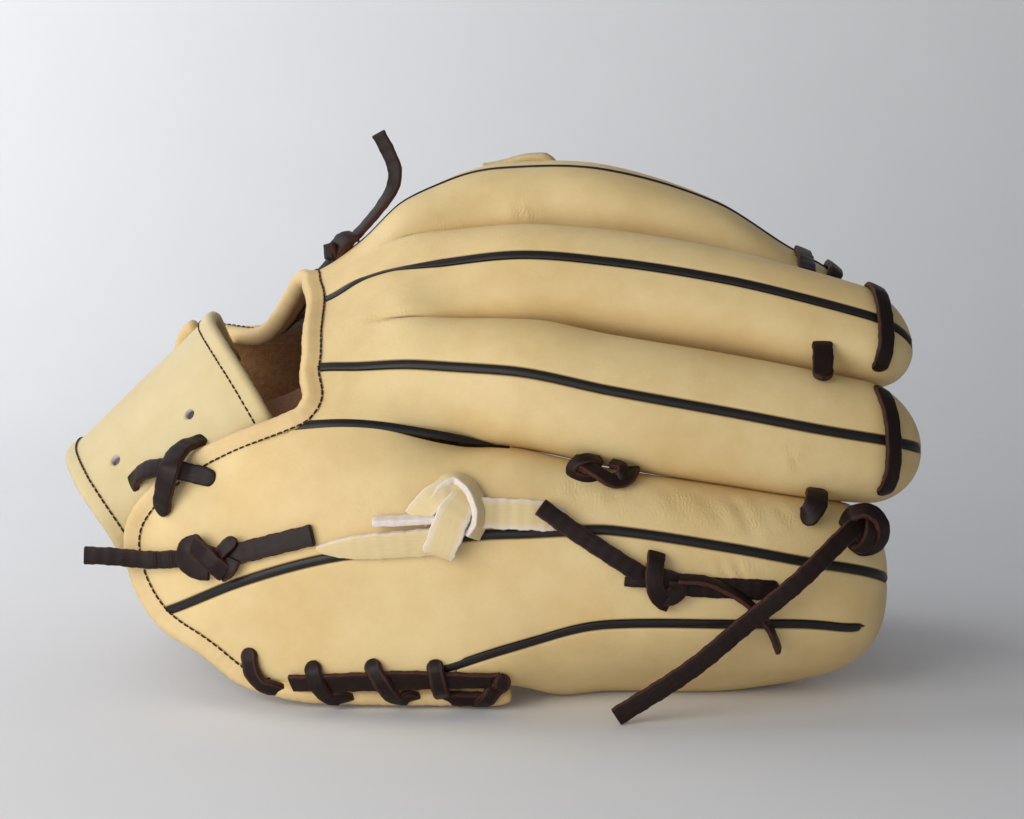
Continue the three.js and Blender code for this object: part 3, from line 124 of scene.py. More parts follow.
# Seam and shape lines of the back of the hand: each has its place across, its wrist edge and (x, y, z) rows
BACK_LINES = [
    {"at": 0, "start": -68, "rows": [(-130, -46, 9), (-75, -63.5, 7.4), (-30, -69, 7), (6, -59, 7)]},
    {"at": 1, "start": -88, "rows": [
        (-130, -46, 15), (-78, -66, 16), (-54, -73, 15), (-31, -75.5, 14.5), (-12, -76, 16), (6, -77, 23)]},
    {"at": 2, "start": -111, "rows": [
        (-130, -44, 24), (-111, -54, 31), (-85, -68, 44), (-57, -76, 53.5), (-30, -79, 58), (6, -79, 61.5)]},
    {"at": 2.5, "start": -121, "rows": [
        (-130, -40, 54), (-99, -58, 63), (-64, -71, 71.5), (-30, -75, 76), (6, -72, 76)]},
    {"at": 2.8, "start": -100, "rows": [
        (-130, -36, 72), (-99, -50, 80), (-78, -60, 85), (-54, -66, 88), (-24, -68, 87), (6, -61, 83)]},
    {"at": 3, "start": -64, "rows": [
        (-130, -30, 84), (-64, -58, 96), (-44, -61, 97), (-17, -60, 93), (-2, -54, 89), (6, -52, 87.5)]},
    {"at": 4, "start": -59, "rows": [
        (-130, -20, 100), (-60, -46, 114), (-45, -50, 115), (-24, -55, 116.5), (6, -60, 115.5)]},
    {"at": 5, "start": -59, "rows": [
        (-130, 0, 116), (-60, -33, 125), (-40, -38, 130), (-24, -42, 134), (6, -46, 136)]},
    {"at": 6, "start": -59, "rows": [
        (-130, 10, 118), (-60, -16, 133.5), (-46, -18, 141), (-32, -22, 145.4), (6, -30, 150.8)]},
    {"at": 7, "start": -61, "rows": [
        (-130, 18, 120), (-62, -6, 138.5), (-40, -7, 152), (-24, -8, 160), (6, -11, 167)]},
    {"at": 8, "start": -64, "rows": [
        (-130, 30, 120), (-64, 5, 141), (-47, 8, 152), (-32, 11, 166), (-14, 14, 174), (6, 12, 178)]},
    {"at": 9, "start": -80, "rows": [
        (-130, 52, 103), (-100, 46, 112), (-78, 40, 119), (-50, 36, 140), (-20, 38, 159), (6, 40, 160)]},
    {"at": 10, "start": -114, "rows": [
        (-130, 70, 107), (-100, 70, 110), (-60, 74, 108), (-20, 78, 96), (6, 82, 74)]},
    {"at": 11, "start": -116, "rows": [
        (-130, 72, 40), (-100, 82, 43), (-60, 91, 43), (-20, 93, 38), (6, 93, 35.8)]},
    {"at": 12, "start": -80, "rows": [(-130, 60, 12), (-80, 74, 8), (-50, 78, 7), (6, 79, 4)]},
]

PALM_LINES = [
    {"at": 0, "start": -66, "rows": [(-110, -42, 10), (-60, -60.5, 7.4), (-30, -63.5, 7.4), (6, -50, 8.5)]},
    {"at": 1, "start": -88, "rows": [(-110, -32, 48), (-60, -38, 62), (-30, -39, 74), (6, -34.6, 82.9)]},
    {"at": 2, "start": -96, "rows": [(-110, -18, 68), (-60, -24, 86), (-30, -22, 103.4), (6, -16.4, 118)]},
    {"at": 3, "start": -99, "rows": [(-110, 2, 78), (-60, -2, 96), (-30, 1, 121), (6, 4.8, 143)]},
    {"at": 4, "start": -98, "rows": [(-110, 22, 76), (-60, 24, 96), (-30, 28.4, 125), (6, 31.6, 148.5)]},
    {"at": 5, "start": -90, "rows": [(-110, 44, 50), (-60, 52, 64), (-30, 56, 64), (6, 58, 59)]},
    {"at": 6, "start": -66, "rows": [(-110, 54, 10), (-60, 70.5, 7), (-30, 73, 6.5), (6, 66, 5.4)]},
]

# The wrist strap: its wrist edge (left) and finger edge (right) at rows over the back of the wrist
STRAP_ROWS = [
    {"at": 0, "left": (-125, -32, 46), "right": (-76, -39, 86)},
    {"at": 1, "left": (-130, -35.5, 56), "right": (-80, -44.3, 96.5)},
    {"at": 2, "left": (-137, -34, 64), "right": (-85.5, -39.5, 107)},
    {"at": 3, "left": (-144, -26, 70.5), "right": (-93, -27, 117)},
    {"at": 4, "left": (-150, -8, 75.5), "right": (-100, -8, 123.5)},
    {"at": 5, "left": (-151, 16, 75), "right": (-101, 16, 123)},
    {"at": 6, "left": (-146, 42, 64), "right": (-102, 40, 110)},
    {"at": 7, "left": (-136, 58, 50), "right": (-101, 56, 98)},
]


# Smooth interpolation

def smoothstep(value, low, high):
    share = np.clip((np.asarray(value, float) - low) / (high - low), 0, 1)
    return share * share * (3 - 2 * share)


def lerp(a, b, share):
    return a + (b - a) * share


def between(knots, values, places):
    """Smooth values at the places, with the end slopes carried past the ends; values may differ by place."""
    knots = np.asarray(knots, float)
    places = np.atleast_1d(np.asarray(places, float))
    values = np.broadcast_to(np.asarray(values, float), (len(places), len(knots)))
    low = np.clip(np.searchsorted(knots, places) - 1, 0, len(knots) - 2)
    high = low + 1
    before = np.maximum(low - 1, 0)
    after = np.minimum(low + 2, len(knots) - 1)
    row = np.arange(len(places))
    span = knots[high] - knots[low]
    share = (places - knots[low]) / span
    inside = np.clip(share, 0, 1)
    low_slope = (values[row, high] - values[row, before]) / (knots[high] - knots[before]) * span
    high_slope = (values[row, after] - values[row, low]) / (knots[after] - knots[low]) * span
    square = inside ** 2
    cube = inside ** 3
    result = values[row, low] * (2 * cube - 3 * square + 1) + low_slope * (cube - 2 * square + inside)
    result += values[row, high] * (3 * square - 2 * cube) + high_slope * (cube - square)
    return result + low_slope * np.minimum(share, 0) + high_slope * np.maximum(share - 1, 0)


def paired(x, t):
    """Both as arrays of one shape, with at least one value."""
    return np.broadcast_arrays(np.atleast_1d(np.asarray(x, float)), np.atleast_1d(np.asarray(t, float)))


def spanned(lines, x, at):
    """Points on the surface that a set of lines spans, at lengths x and places across."""
    x, at = paired(x, at)
    knots = [line["at"] for line in lines]
    across = []
    for column in (1, 2):
        cut = [between([r[0] for r in line["rows"]], [r[column] for r in line["rows"]], x) for line in lines]
        across.append(between(knots, np.stack(cut, axis=-1), at))
    return np.stack([x, across[0], across[1]], axis=-1)


def start_of(lines, at):
    """The length x at which the lines start at the wrist, at places across."""
    starts = between([line["at"] for line in lines], [line["start"] for line in lines], at.ravel())
    return starts.reshape(at.shape)


def back_point(x, at):
    return spanned(BACK_LINES, x, at)


def palm_point(x, at):
    return spanned(PALM_LINES, x, at)


def on_grid(surface, x, t):
    """Points of a surface at a grid of places."""
    return surface(x.ravel(), t.ravel()).reshape(*x.shape, 3)


def smooth_at(knots, points, places):
    """Points at the places on a smooth curve through points at the knots."""
    return np.stack([between(knots, points[:, k], places) for k in range(3)], axis=-1)


def straight_at(places, run, points):
    """Points at the places on straight lines between points at the runs."""
    return np.stack([np.interp(places, run, points[:, k]) for k in range(3)], axis=-1)


def run_of(path):
    """How far along its path each point is."""
    return np.concatenate([[0], np.linalg.norm(np.diff(path, axis=0), axis=1).cumsum()])


def unit(vectors):
    return vectors / np.maximum(np.linalg.norm(vectors, axis=-1, keepdims=True), 1e-9)


# Surfaces of the leather

def signed_power(value):
    return np.sign(value) * np.abs(value) ** LOOP_POWER


def stall_column(stall, x, name):
    """A column of the stall's sections at lengths x, or 0 where the stall has no such column."""
    rows = stall["rows"]
    column = STALL_COLUMNS.index(name)
    return between([row[0] for row in rows], [row[column] if column < len(row) else 0 for row in rows], x)


def stall_point(stall, x, degrees):
    """Points on a stall's skin: 90 degrees is its crest, 0 its side towards the thumb, 270 the palm."""
    x, degrees = paired(x, degrees)
    past = np.maximum(0, (x - stall["tip"] + stall["round"]) / stall["round"])
    blunt = stall.get("blunt", 2)
    dome = np.maximum(0, 1 - past ** blunt) ** (1 / blunt)
    half = stall_column(stall, x, "half")
    deep = stall_column(stall, x, "deep")
    out = np.radians(stall_column(stall, x, "out"))
    across = signed_power(np.cos(np.radians(degrees))) * half * dome
    outward = signed_power(np.sin(np.radians(degrees))) * deep * dome - deep
    tucked = np.where(across < 0, stall_column(stall, x, "tuck") * dome * (across / half) ** 2, 0)
    return np.stack([
        x,
        stall_column(stall, x, "y") + np.sin(out) * across - np.cos(out) * outward + tucked,
        stall_column(stall, x, "z") + np.cos(out) * across + np.sin(out) * outward,
    ], axis=-1)


HALVES = {
    "pinky_under": {"stall": "pinky", "side": "low", "crest": 1, "valley": 0, "seam": "lower"},
    "pinky_back": {"stall": "pinky", "side": "high", "crest": 2, "valley": 3, "seam": "upper"},
    "ring_low": {"stall": "ring", "side": "low", "crest": 4, "valley": 3},
    "ring_high": {"stall": "ring", "beside": "middle", "side": "high", "crest": 4, "valley": 5},
    "middle_low": {"stall": "middle", "beside": "ring", "side": "low", "crest": 6, "valley": 5},
    "middle_high": {"stall": "middle", "beside": "index", "side": "high", "crest": 6, "valley": 7},
    "index_low": {"stall": "index", "beside": "middle", "side": "low", "crest": 8, "valley": 7},
    "index_high": {"stall": "index", "side": "high", "crest": 8, "valley": 9},
    "thumb_low": {"stall": "thumb", "side": "low", "crest": 11, "valley": 10},
    "thumb_high": {"stall": "thumb", "side": "high", "crest": 11, "valley": 12},
}


def half_point(name, x, t):
    """Points on half a stall and the hand behind it: t is 0 at the crest, 1 at the side, more below it."""
    x, t = paired(x, t)
    half = HALVES[name]
    stall = STALLS[half["stall"]]
    high = half["side"] == "high"
    side_angle = 0 if high else 180
    turn = -90 if high else 90
    crest_angle = stall_column(stall, x, half["seam"]) if "seam" in half else 90
    degrees = np.where(t <= 1, lerp(crest_angle, side_angle, t), side_angle + turn * (t - 1))
    on_stall = stall_point(stall, x, degrees)
    if "beside" in half:
        own = stall_point(stall, x, side_angle)
        floor = (stall_point(STALLS[half["beside"]], x, 180 - side_angle) + own) / 2
        fade = 1 - smoothstep(x, CROTCH_X, CROTCH_X + CROTCH_BLEND)
        weight = np.where(t <= 1, t * t, np.maximum(0, 1 - (t - 1) * 2))
        on_stall = on_stall + (floor - own) * (fade * weight)[..., None]
    on_back = back_point(x, lerp(half["crest"], half["valley"], np.minimum(t, 1)))
    share = smoothstep(x, VALLEY_FROM_X, CROTCH_X)[..., None]
    return np.where((x >= CROTCH_X)[..., None], on_stall, lerp(on_back, on_stall, share))


def pinky_side_point(x, t):
    """The little finger's outer side: t is 0 at its upper seam, 1 at the lower and 2 at the floor edge."""
    x, t = paired(x, t)
    stall = STALLS["pinky"]
    upper = stall_column(stall, x, "upper")
    lower = stall_column(stall, x, "lower")
    degrees = np.where(t <= 1, lerp(upper, lower, t), lerp(lower, 180, t - 1))
    on_stall = stall_point(stall, x, degrees)
    on_back = back_point(x, 2 - t)
    share = smoothstep(x, VALLEY_FROM_X, CROTCH_X)[..., None]
    return np.where((x >= CROTCH_X)[..., None], on_stall, lerp(on_back, on_stall, share))


def beyond_thumb_point(x, e):
    """The hand's leather between the thumb stall's side, e 0, and the web seam, e 1."""
    x, e = paired(x, e)
    shift = half_point("thumb_low", x, 0.94) - back_point(x, THUMB_SIDE_AT)
    return back_point(x, lerp(THUMB_SIDE_AT, WEB_SEAM_AT, e)) + shift * ((1 - e) ** 2)[..., None]


def strap_point(at, across):
    at, across = paired(at, across)
    knots = [row["at"] for row in STRAP_ROWS]

    def edge(side):
        return smooth_at(knots, np.array([row[side] for row in STRAP_ROWS], float), at)

    return lerp(edge("left"), edge("right"), across[..., None])


def strap_normal(at):
    ahead = strap_point(np.asarray(at) + 0.1, 0.5) - strap_point(np.asarray(at) - 0.1, 0.5)
    return unit(np.cross(strap_point(at, 1) - strap_point(at, 0), ahead))


STEP_X = 0.4                 # steps that measure how a surface is turned
STEP_T = 0.02


def normals_of(surface, x, t, facing):
    """Unit normals of a surface (x, t), by small steps both ways."""
    along = surface(x + STEP_X, t) - surface(x - STEP_X, t)
    across = surface(x, t + STEP_T) - surface(x, t - STEP_T)
    return unit(np.cross(along, across)) * facing


# Making meshes

def add_object(name, points, faces, materials, nodes, marks, flat=None):
    """A mesh object from points in table millimetres; it rides on the glove and stands for its CAD nodes."""
    mesh = bpy.data.meshes.new(name)
    placed = (np.asarray(points, float) + TABLE_TO_FRAME) * MM
    mesh.from_pydata(placed.tolist(), [], [list(map(int, face)) for face in faces])
    for mark, values in marks.items():
        mesh.attributes.new(mark, "FLOAT", "POINT").data.foreach_set("value", np.asarray(values, np.float32))
    for material in materials:
        mesh.materials.append(material)
    if flat is not None:
        layer = mesh.uv_layers.new(name="flat")
        corner = np.empty(len(mesh.loops), np.int32)
        mesh.loops.foreach_get("vertex_index", corner)
        layer.data.foreach_set("uv", np.asarray(flat, np.float32)[corner].ravel())
    mesh.polygons.foreach_set("use_smooth", [True] * len(mesh.polygons))
    mesh.update()
    piece = bpy.data.objects.new(name, mesh)
    bpy.context.scene.collection.objects.link(piece)
    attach(piece, "root")
    if nodes:
        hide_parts(*nodes)
    return piece


WELD_DISTANCE = 0.02


def weld(piece):
    """Joins the piece's vertices where its patches meet."""
    work = bmesh.new()
    work.from_mesh(piece.data)
    bmesh.ops.remove_doubles(work, verts=work.verts, dist=WELD_DISTANCE * MM)
    work.to_mesh(piece.data)
    work.free()


def grid_faces(rows, columns, first, facing, around=False):
    index = np.arange(rows * columns).reshape(rows, columns) + first
    if around:
        index = np.concatenate([index, index[:, :1]], axis=1)
    corners = [index[:-1, :-1], index[1:, :-1], index[1:, 1:], index[:-1, 1:]]
    if facing < 0:
        corners = [corners[0], corners[3], corners[2], corners[1]]
    return np.stack([corner.ravel() for corner in corners], axis=1)


def add_wall(piece, thickness, offset, inner):
    """Makes a sheet a wall: offset is -1 where the sheet is its outer face, and 0 where it is its middle."""
    wall = piece.modifiers.new("wall", "SOLIDIFY")
    wall.thickness = thickness * MM
    wall.offset = offset
    wall.material_offset = inner
    wall.material_offset_rim = 1


def leather_sheet(name, patches, thickness, node, materials, inner=1):
    """A wall of leather from grids of points, each with its marks of painted shade and of wrinkles, welded
    where they meet.
    """
    points, faces, marks, first = [], [], {"seam": [], "wrinkled": []}, 0
    for patch in patches:
        grid = patch["points"]
        rows, columns = grid.shape[:2]
        faces.append(grid_faces(rows, columns, first, patch["facing"]))
        points.append(grid.reshape(-1, 3))
        for mark in marks:
            marks[mark].append(patch[mark].ravel())
        first += rows * columns
    marks = {mark: np.concatenate(values) for mark, values in marks.items()}
    piece = add_object(name, np.concatenate(points), np.concatenate(faces), materials, [node], marks)
    weld(piece)
    add_wall(piece, thickness, -1, inner)


def pressed_flat(points):
    """The lowest leather is pressed flat on the floor."""
    drop = SETTLE * (1 - smoothstep(points[..., 2], 0, SETTLE_HEIGHT))
    low = points.copy()
    low[..., 2] = np.maximum(LEATHER_OFF_FLOOR, points[..., 2] - drop)
    return low


# Relief of the skin: a crease is a groove along a line on a panel, through three places (x, t)

CREASES = {
    "pinky_back": [
        {"x": (26, 27.5, 29), "t": (0.56, 0.42, 0.28), "deep": 0.16, "wide": 1.6},
        {"x": (39, 40.5, 42), "t": (0.56, 0.4, 0.24), "deep": 0.18, "wide": 1.7},
        {"x": (58, 61, 64), "t": (0.66, 0.45, 0.2), "deep": 0.24, "wide": 2},
        {"x": (70, 74, 78), "t": (0.6, 0.4, 0.2), "deep": 0.24, "wide": 1.8},
        {"x": (80, 84, 88), "t": (0.66, 0.42, 0.12), "deep": 0.36, "wide": 1.8},
        {"x": (95, 98, 101), "t": (0.66, 0.5, 0.34), "deep": 0.24, "wide": 1.5},
    ],
    "pinky_side": [
        {"x": (76, 78, 81), "t": (0.25, 0.45, 0.62), "deep": 0.35, "wide": 1.2},
        {"x": (81, 83, 86), "t": (0.2, 0.4, 0.55), "deep": 0.35, "wide": 1.2},
    ],
    "ring_low": [
        {"x": (100, 101.5, 104), "t": (0.2, 0.32, 0.4), "deep": 0.3, "wide": 0.9},
    ],
    "index_low": [
        {"x": (8, 9.5, 12), "t": (0.7, 0.82, 0.93), "deep": 0.4, "wide": 1.5},
        {"x": (13, 14, 16), "t": (0.74, 0.83, 0.92), "deep": 0.3, "wide": 1.3},
    ],
}


CREASE_PIECES = 12           # straight pieces along a crease
CREASE_RIM = 0.45            # height of the rims beside a crease, as a share of its depth
CREASE_RIM_AT = 2.2          # and how far from its middle they stand, in widths
WRINKLES_REACH = 4           # how far fine wrinkles reach round a crease, in widths


def grooved(points, normals, surface, creases):
    """Presses the creases into a grid of skin points, and returns how wrinkled each point is; this also sets
    how much painted shade darkens the creases.
    """
    wrinkled = np.zeros(points.shape[:-1])
    for crease in creases:
        places = np.linspace(0, 2, CREASE_PIECES + 1)
        x = between([0, 1, 2], crease["x"], places)
        t = between([0, 1, 2], crease["t"], places)
        line = surface(x, t)
        nearest = np.full(points.shape[:-1], 1e9)
        along = np.zeros(points.shape[:-1])
        for k in range(len(line) - 1):
            run = line[k + 1] - line[k]
            share = np.clip(((points - line[k]) @ run) / (run @ run), 0, 1)
            away = np.linalg.norm(points - line[k] - share[..., None] * run, axis=-1)
            closer = away < nearest
            nearest = np.where(closer, away, nearest)
            along = np.where(closer, (k + share) / (len(line) - 1), along)
        fade = np.sin(np.pi * np.clip(along, 0.04, 0.96)) ** 0.6
        wide = crease["wide"]
        rim = np.exp(-((nearest - CREASE_RIM_AT * wide) / wide) ** 2)
        groove = np.exp(-(nearest / wide) ** 2) - CREASE_RIM * rim
        points = points - normals * (crease["deep"] * fade * groove)[..., None]
        wrinkled = np.maximum(wrinkled, fade * np.exp(-(nearest / (WRINKLES_REACH * wide)) ** 2))
    return points, wrinkled


# Where two neighbouring stalls meet in a hollow, at a place across the back, and how deep its line is
VALLEYS = {
    5: {"from": -46, "to": 34, "deep": 2.3},
    7: {"from": -42, "to": 30, "deep": 2.1},
}
VALLEY_DOWN = np.array([0, 0.55, -0.83])
VALLEY_WIDE = 0.085          # widths across the back, as shares of a half panel
# width of the painted shade line along a hollow, as a share of a half panel
VALLEY_SHADE_LINE_WIDE = 0.032
VALLEY_DENT_WIDE = 0.3


def valley_pressed(valley, points, x, t):
    """Presses the hollow between two stalls into a narrow line, and returns two marks: a painted shade line
    along the hollow, and a dent near the crotch that gets fine wrinkles and painted crease shade.
    """
    start, end = valley["from"], valley["to"]
    along = smoothstep(x, start, start + 16) * (1 - smoothstep(x, end - 18, end))
    away = np.abs(t - 1)
    points = points + VALLEY_DOWN * (valley["deep"] * along * np.exp(-(away / VALLEY_WIDE) ** 2))[..., None]
    dented = smoothstep(x, start - 4, start + 8) * (1 - smoothstep(x, -18, 2))
    # Painted shade: a dark line along the hollow's middle; the dent mark also darkens the creases near the
    # crotch.
    line = along * np.exp(-(away / VALLEY_SHADE_LINE_WIDE) ** 2)
    return points, line, 0.5 * dented * np.exp(-(away / VALLEY_DENT_WIDE) ** 2)


def seam_roll(distance):
    """How far the skin has turned down at a distance from the panel's edge."""
    inside = np.clip(SEAM_ROLL - distance, 0, SEAM_ROLL)
    return SEAM_ROLL - np.sqrt(np.maximum(SEAM_ROLL ** 2 - inside ** 2, 0))


NEAR_SEAM = np.array([0, 0.1, 0.28, 0.55, 0.9, 1.35, 2.0])      # columns of points beside a seam
# A panel's warm line is painted shade where the skin turns down into its seam.
SEAM_SHADE_REACH = (0.1, 1.5)       # how far from its edge a panel's warm line starts and ends
ACROSS_TRIES = 90            # places tried across a panel to measure its width


def panel_patch(surface, x_at, rows, t_from, t_to, facing, from_seam=None, to_seam=None, creases=(),
                valley=None):
    """
    A grid of skin points. rows are the places along the panel and x_at gives the length of each at a place
    across. from_seam and to_seam say how far a seam is open along the first and last column, from 0 to 1.
    """
    tries = np.linspace(0, 1, ACROSS_TRIES)
    t = lerp(t_from, t_to, tries)[None, :] + np.zeros((len(rows), 1))
    x = x_at(rows[:, None], t)
    steps = np.linalg.norm(np.diff(on_grid(surface, x, t), axis=1), axis=2)
    run = np.concatenate([np.zeros((len(rows), 1)), steps.cumsum(axis=1)], axis=1)
    width = run[:, -1]
    room = np.minimum(1, width / (3 * NEAR_SEAM[-1]))[:, None]
    opened = [None, None]
    heads = [np.zeros((len(rows), 1)), np.zeros((len(rows), 1))]
    for end, seam in enumerate((from_seam, to_seam)):
        if seam is None:
            continue
        middle_x = x[:, -1 if end else 0]
        opened[end] = np.broadcast_to(np.asarray(seam(middle_x), float), middle_x.shape)[:, None]
        heads[end] = opened[end] * SEAM_INSET * room + NEAR_SEAM[None, :] * room
    low, high = heads[0], width[:, None] - heads[1][:, ::-1]
    cells = max(3, int(round(np.median(width) / CELL)))
    inner = lerp(low[:, -1:], high[:, :1], np.linspace(0, 1, cells + 1)[None, 1:-1])
    reach = np.concatenate([low, inner, high], axis=1)
    t = np.stack([np.interp(reach[i], run[i], lerp(t_from, t_to, tries)) for i in range(len(rows))])
    x = x_at(rows[:, None] + np.zeros_like(t), t)
    points = on_grid(surface, x, t)
    inside_t = np.clip(t.ravel(), *sorted((t_from + STEP_T, t_to - STEP_T)))
    normals = normals_of(surface, x.ravel(), inside_t, facing).reshape(*x.shape, 3)
    # Painted shade: a warm darker line where the skin turns down into a seam, and along the hollow between
    # stalls.
    seam_shade = np.zeros(x.shape)
    dip = np.zeros(x.shape)
    for end, from_edge in enumerate((reach, width[:, None] - reach)):
        if opened[end] is None:
            continue
        away = from_edge - opened[end] * SEAM_INSET * room
        dip += seam_roll(away / room) * opened[end] * room
        seam_shade = np.maximum(seam_shade, opened[end] * (1 - smoothstep(away, *SEAM_SHADE_REACH)))
    points, wrinkled = grooved(points, normals, surface, creases)
    points = points - normals * dip[..., None]
    if valley is not None:
        points, line, dented = valley_pressed(valley, points, x, t)
        seam_shade = np.maximum(seam_shade, line)
        wrinkled = np.maximum(wrinkled, dented)
    return {"points": pressed_flat(points), "facing": facing, "seam": seam_shade, "wrinkled": wrinkled}


DOME_STEPS = 16
DOME_END = 89.8              # the last row's angle round the tip, in degrees


def stall_rows(stall, steps):
    """Lengths along a stall beyond the crotch: even steps, then even angles round its tip."""
    dome_from = stall["tip"] - stall["round"]
    angles = np.radians(np.linspace(0, DOME_END, DOME_STEPS + 1)[1:])
    dome = dome_from + stall["round"] * np.sin(angles)
    return np.concatenate([np.linspace(CROTCH_X, dome_from, steps + 1), dome])


def whole_rows(stall, hand_steps=44, steps=None):
    """Row places: under 0 the hand's share from the wrist edge, from CROTCH_X on a length along the stall."""
    steps = steps or int((stall["tip"] - stall["round"] - CROTCH_X) / CELL)
    hand = np.linspace(-1, 0, hand_steps + 1)[:-1]
    return np.concatenate([hand, stall_rows(stall, steps)])


def sheared(start_at):
    """Length x of a row: the hand's rows run from the wrist edge, start_at(t), to the crotch."""
    def x_at(row, t):
        hand_x = lerp(start_at(t), CROTCH_X, row + 1)
        return np.where(row < 0, hand_x, row)
    return x_at


def wrist_edge(crest, valley):
    """Where a panel between two lines of the back starts at the wrist, inside its binding."""
    def start_at(t):
        at = lerp(crest, valley, np.clip(t, 0, 1))
        return start_of(BACK_LINES, at) - UNDER_BINDING
    return start_at


def seam_opening(stall, x):
    """How far the crest seam of a stall stands open, from 0 to 1; its piping thins with the gap."""
    knots = OPENINGS.get(stall, [(0, 1.0)])
    return np.interp(x, [place for place, _ in knots], [share for _, share in knots])


PINKY_SEAM_CLOSES = (124.5, 127)
OPENINGS = {
    "middle": [(-52, 1.0), (-44, 0.42), (-34, 0.36), (-26, 0.7), (-18, 1.0)],
    "index": [(-60, 0.25), (60, 0.3)],
    "pinky_under": [(PINKY_SEAM_CLOSES[0], 1.0), (PINKY_SEAM_CLOSES[1], 0.0)],
}


def half_panel(name, to_seam=None, start_at=None):
    """The patches of one half stall and the hand behind it: its top, and its deep side beyond the crotch."""
    half = HALVES[name]
    stall = STALLS[half["stall"]]
    facing = 1 if half["side"] == "high" else -1
    x_at = sheared(start_at or wrist_edge(half["crest"], half["valley"]))
    rows = whole_rows(stall)
    surface = lambda x, t: half_point(name, x, t)
    opening = name if name in OPENINGS else half["stall"]
    crest_seam = lambda x: seam_opening(opening, x)
    valley = VALLEYS.get(half["valley"])
    top = panel_patch(surface, x_at, rows, 0, 1, facing, crest_seam, to_seam, CREASES.get(name, ()), valley)
    deep_rows = rows[rows >= CROTCH_X]
    deep = panel_patch(surface, x_at, deep_rows, 1, DEEP_EDGE, facing, valley=valley)
    return [top, deep]


# Looks: shader node groups, and one material for each finish

def srgb(red, green, blue):
    """Linear colour from the sRGB tone of 0 to 255 that it shows."""
    def linear(value):
        share = value / 255
        return share / 12.92 if share <= 0.04045 else ((share + 0.055) / 1.055) ** 2.4
    return (linear(red), linear(green), linear(blue), 1)


def new_group(name, inputs, outputs):
    """A node group with named inputs (name, kind, value) and outputs (name, kind)."""
    group = bpy.data.node_groups.new(name, "ShaderNodeTree")
    for socket, kind, value in inputs:
        made = group.interface.new_socket(name=socket, in_out="INPUT", socket_type=kind)
        made.default_value = value
    for socket, kind in outputs:
        group.interface.new_socket(name=socket, in_out="OUTPUT", socket_type=kind)
    tree = Tree(group)
    return tree, tree.node("NodeGroupInput"), tree.node("NodeGroupOutput")


class Tree:
    """Short ways to add nodes and links to a node tree."""

    def __init__(self, tree):
        self.tree = tree

    def node(self, kind, **values):
        made = self.tree.nodes.new(kind)
        for key, value in values.items():
            setattr(made, key, value)
        return made

    def link(self, source, target):
        self.tree.links.new(source, target)

    def put(self, value, socket):
        """Links a value that comes from a socket, and sets a plain one."""
        if isinstance(value, bpy.types.NodeSocket):
            self.link(value, socket)
        else:
            socket.default_value = value

    def set(self, node, **values):
        for key, value in values.items():
            self.put(value, node.inputs[key.replace("_", " ")])
        return node

    def math(self, operation, a, b):
        made = self.node("ShaderNodeMath", operation=operation)
        self.put(a, made.inputs[0])
        self.put(b, made.inputs[1])
        return made.outputs[0]

    def plus(self, a, b):
        return self.math("ADD", a, b)

    def times(self, a, b):
        return self.math("MULTIPLY", a, b)

    def ramp(self, value, low, high, to_low=0.0, to_high=1.0):
        made = self.node("ShaderNodeMapRange", interpolation_type="SMOOTHSTEP")
        self.set(made, Value=value, From_Min=low, From_Max=high, To_Min=to_low, To_Max=to_high)
        return made.outputs["Result"]

    def mix(self, share, a, b):
        """The colour a, with a share of the colour b."""
        made = self.node("ShaderNodeMix", data_type="RGBA")
        colours = [socket for socket in made.inputs if socket.type == "RGBA"]
        for socket, value in zip([made.inputs[0], *colours], (share, a, b)):
            self.put(value, socket)
        return next(socket for socket in made.outputs if socket.type == "RGBA")

    def mark(self, name):
        return self.node("ShaderNodeAttribute", attribute_name=name, attribute_type="GEOMETRY").outputs["Fac"]

    def place(self):
        return self.node("ShaderNodeTexCoord").outputs["Object"]

    def noise(self, vector, size, detail=2.0, roughness=0.5):
        """Noise whose grains are about size millimetres across."""
        made = self.node("ShaderNodeTexNoise")
        self.set(made, Vector=vector, Scale=1 / (size * MM), Detail=detail, Roughness=roughness)
        return made.outputs["Fac"]

    def stretched(self, vector, scale):
        made = self.node("ShaderNodeMapping")
        self.set(made, Vector=vector, Scale=scale)
        return made.outputs["Vector"]


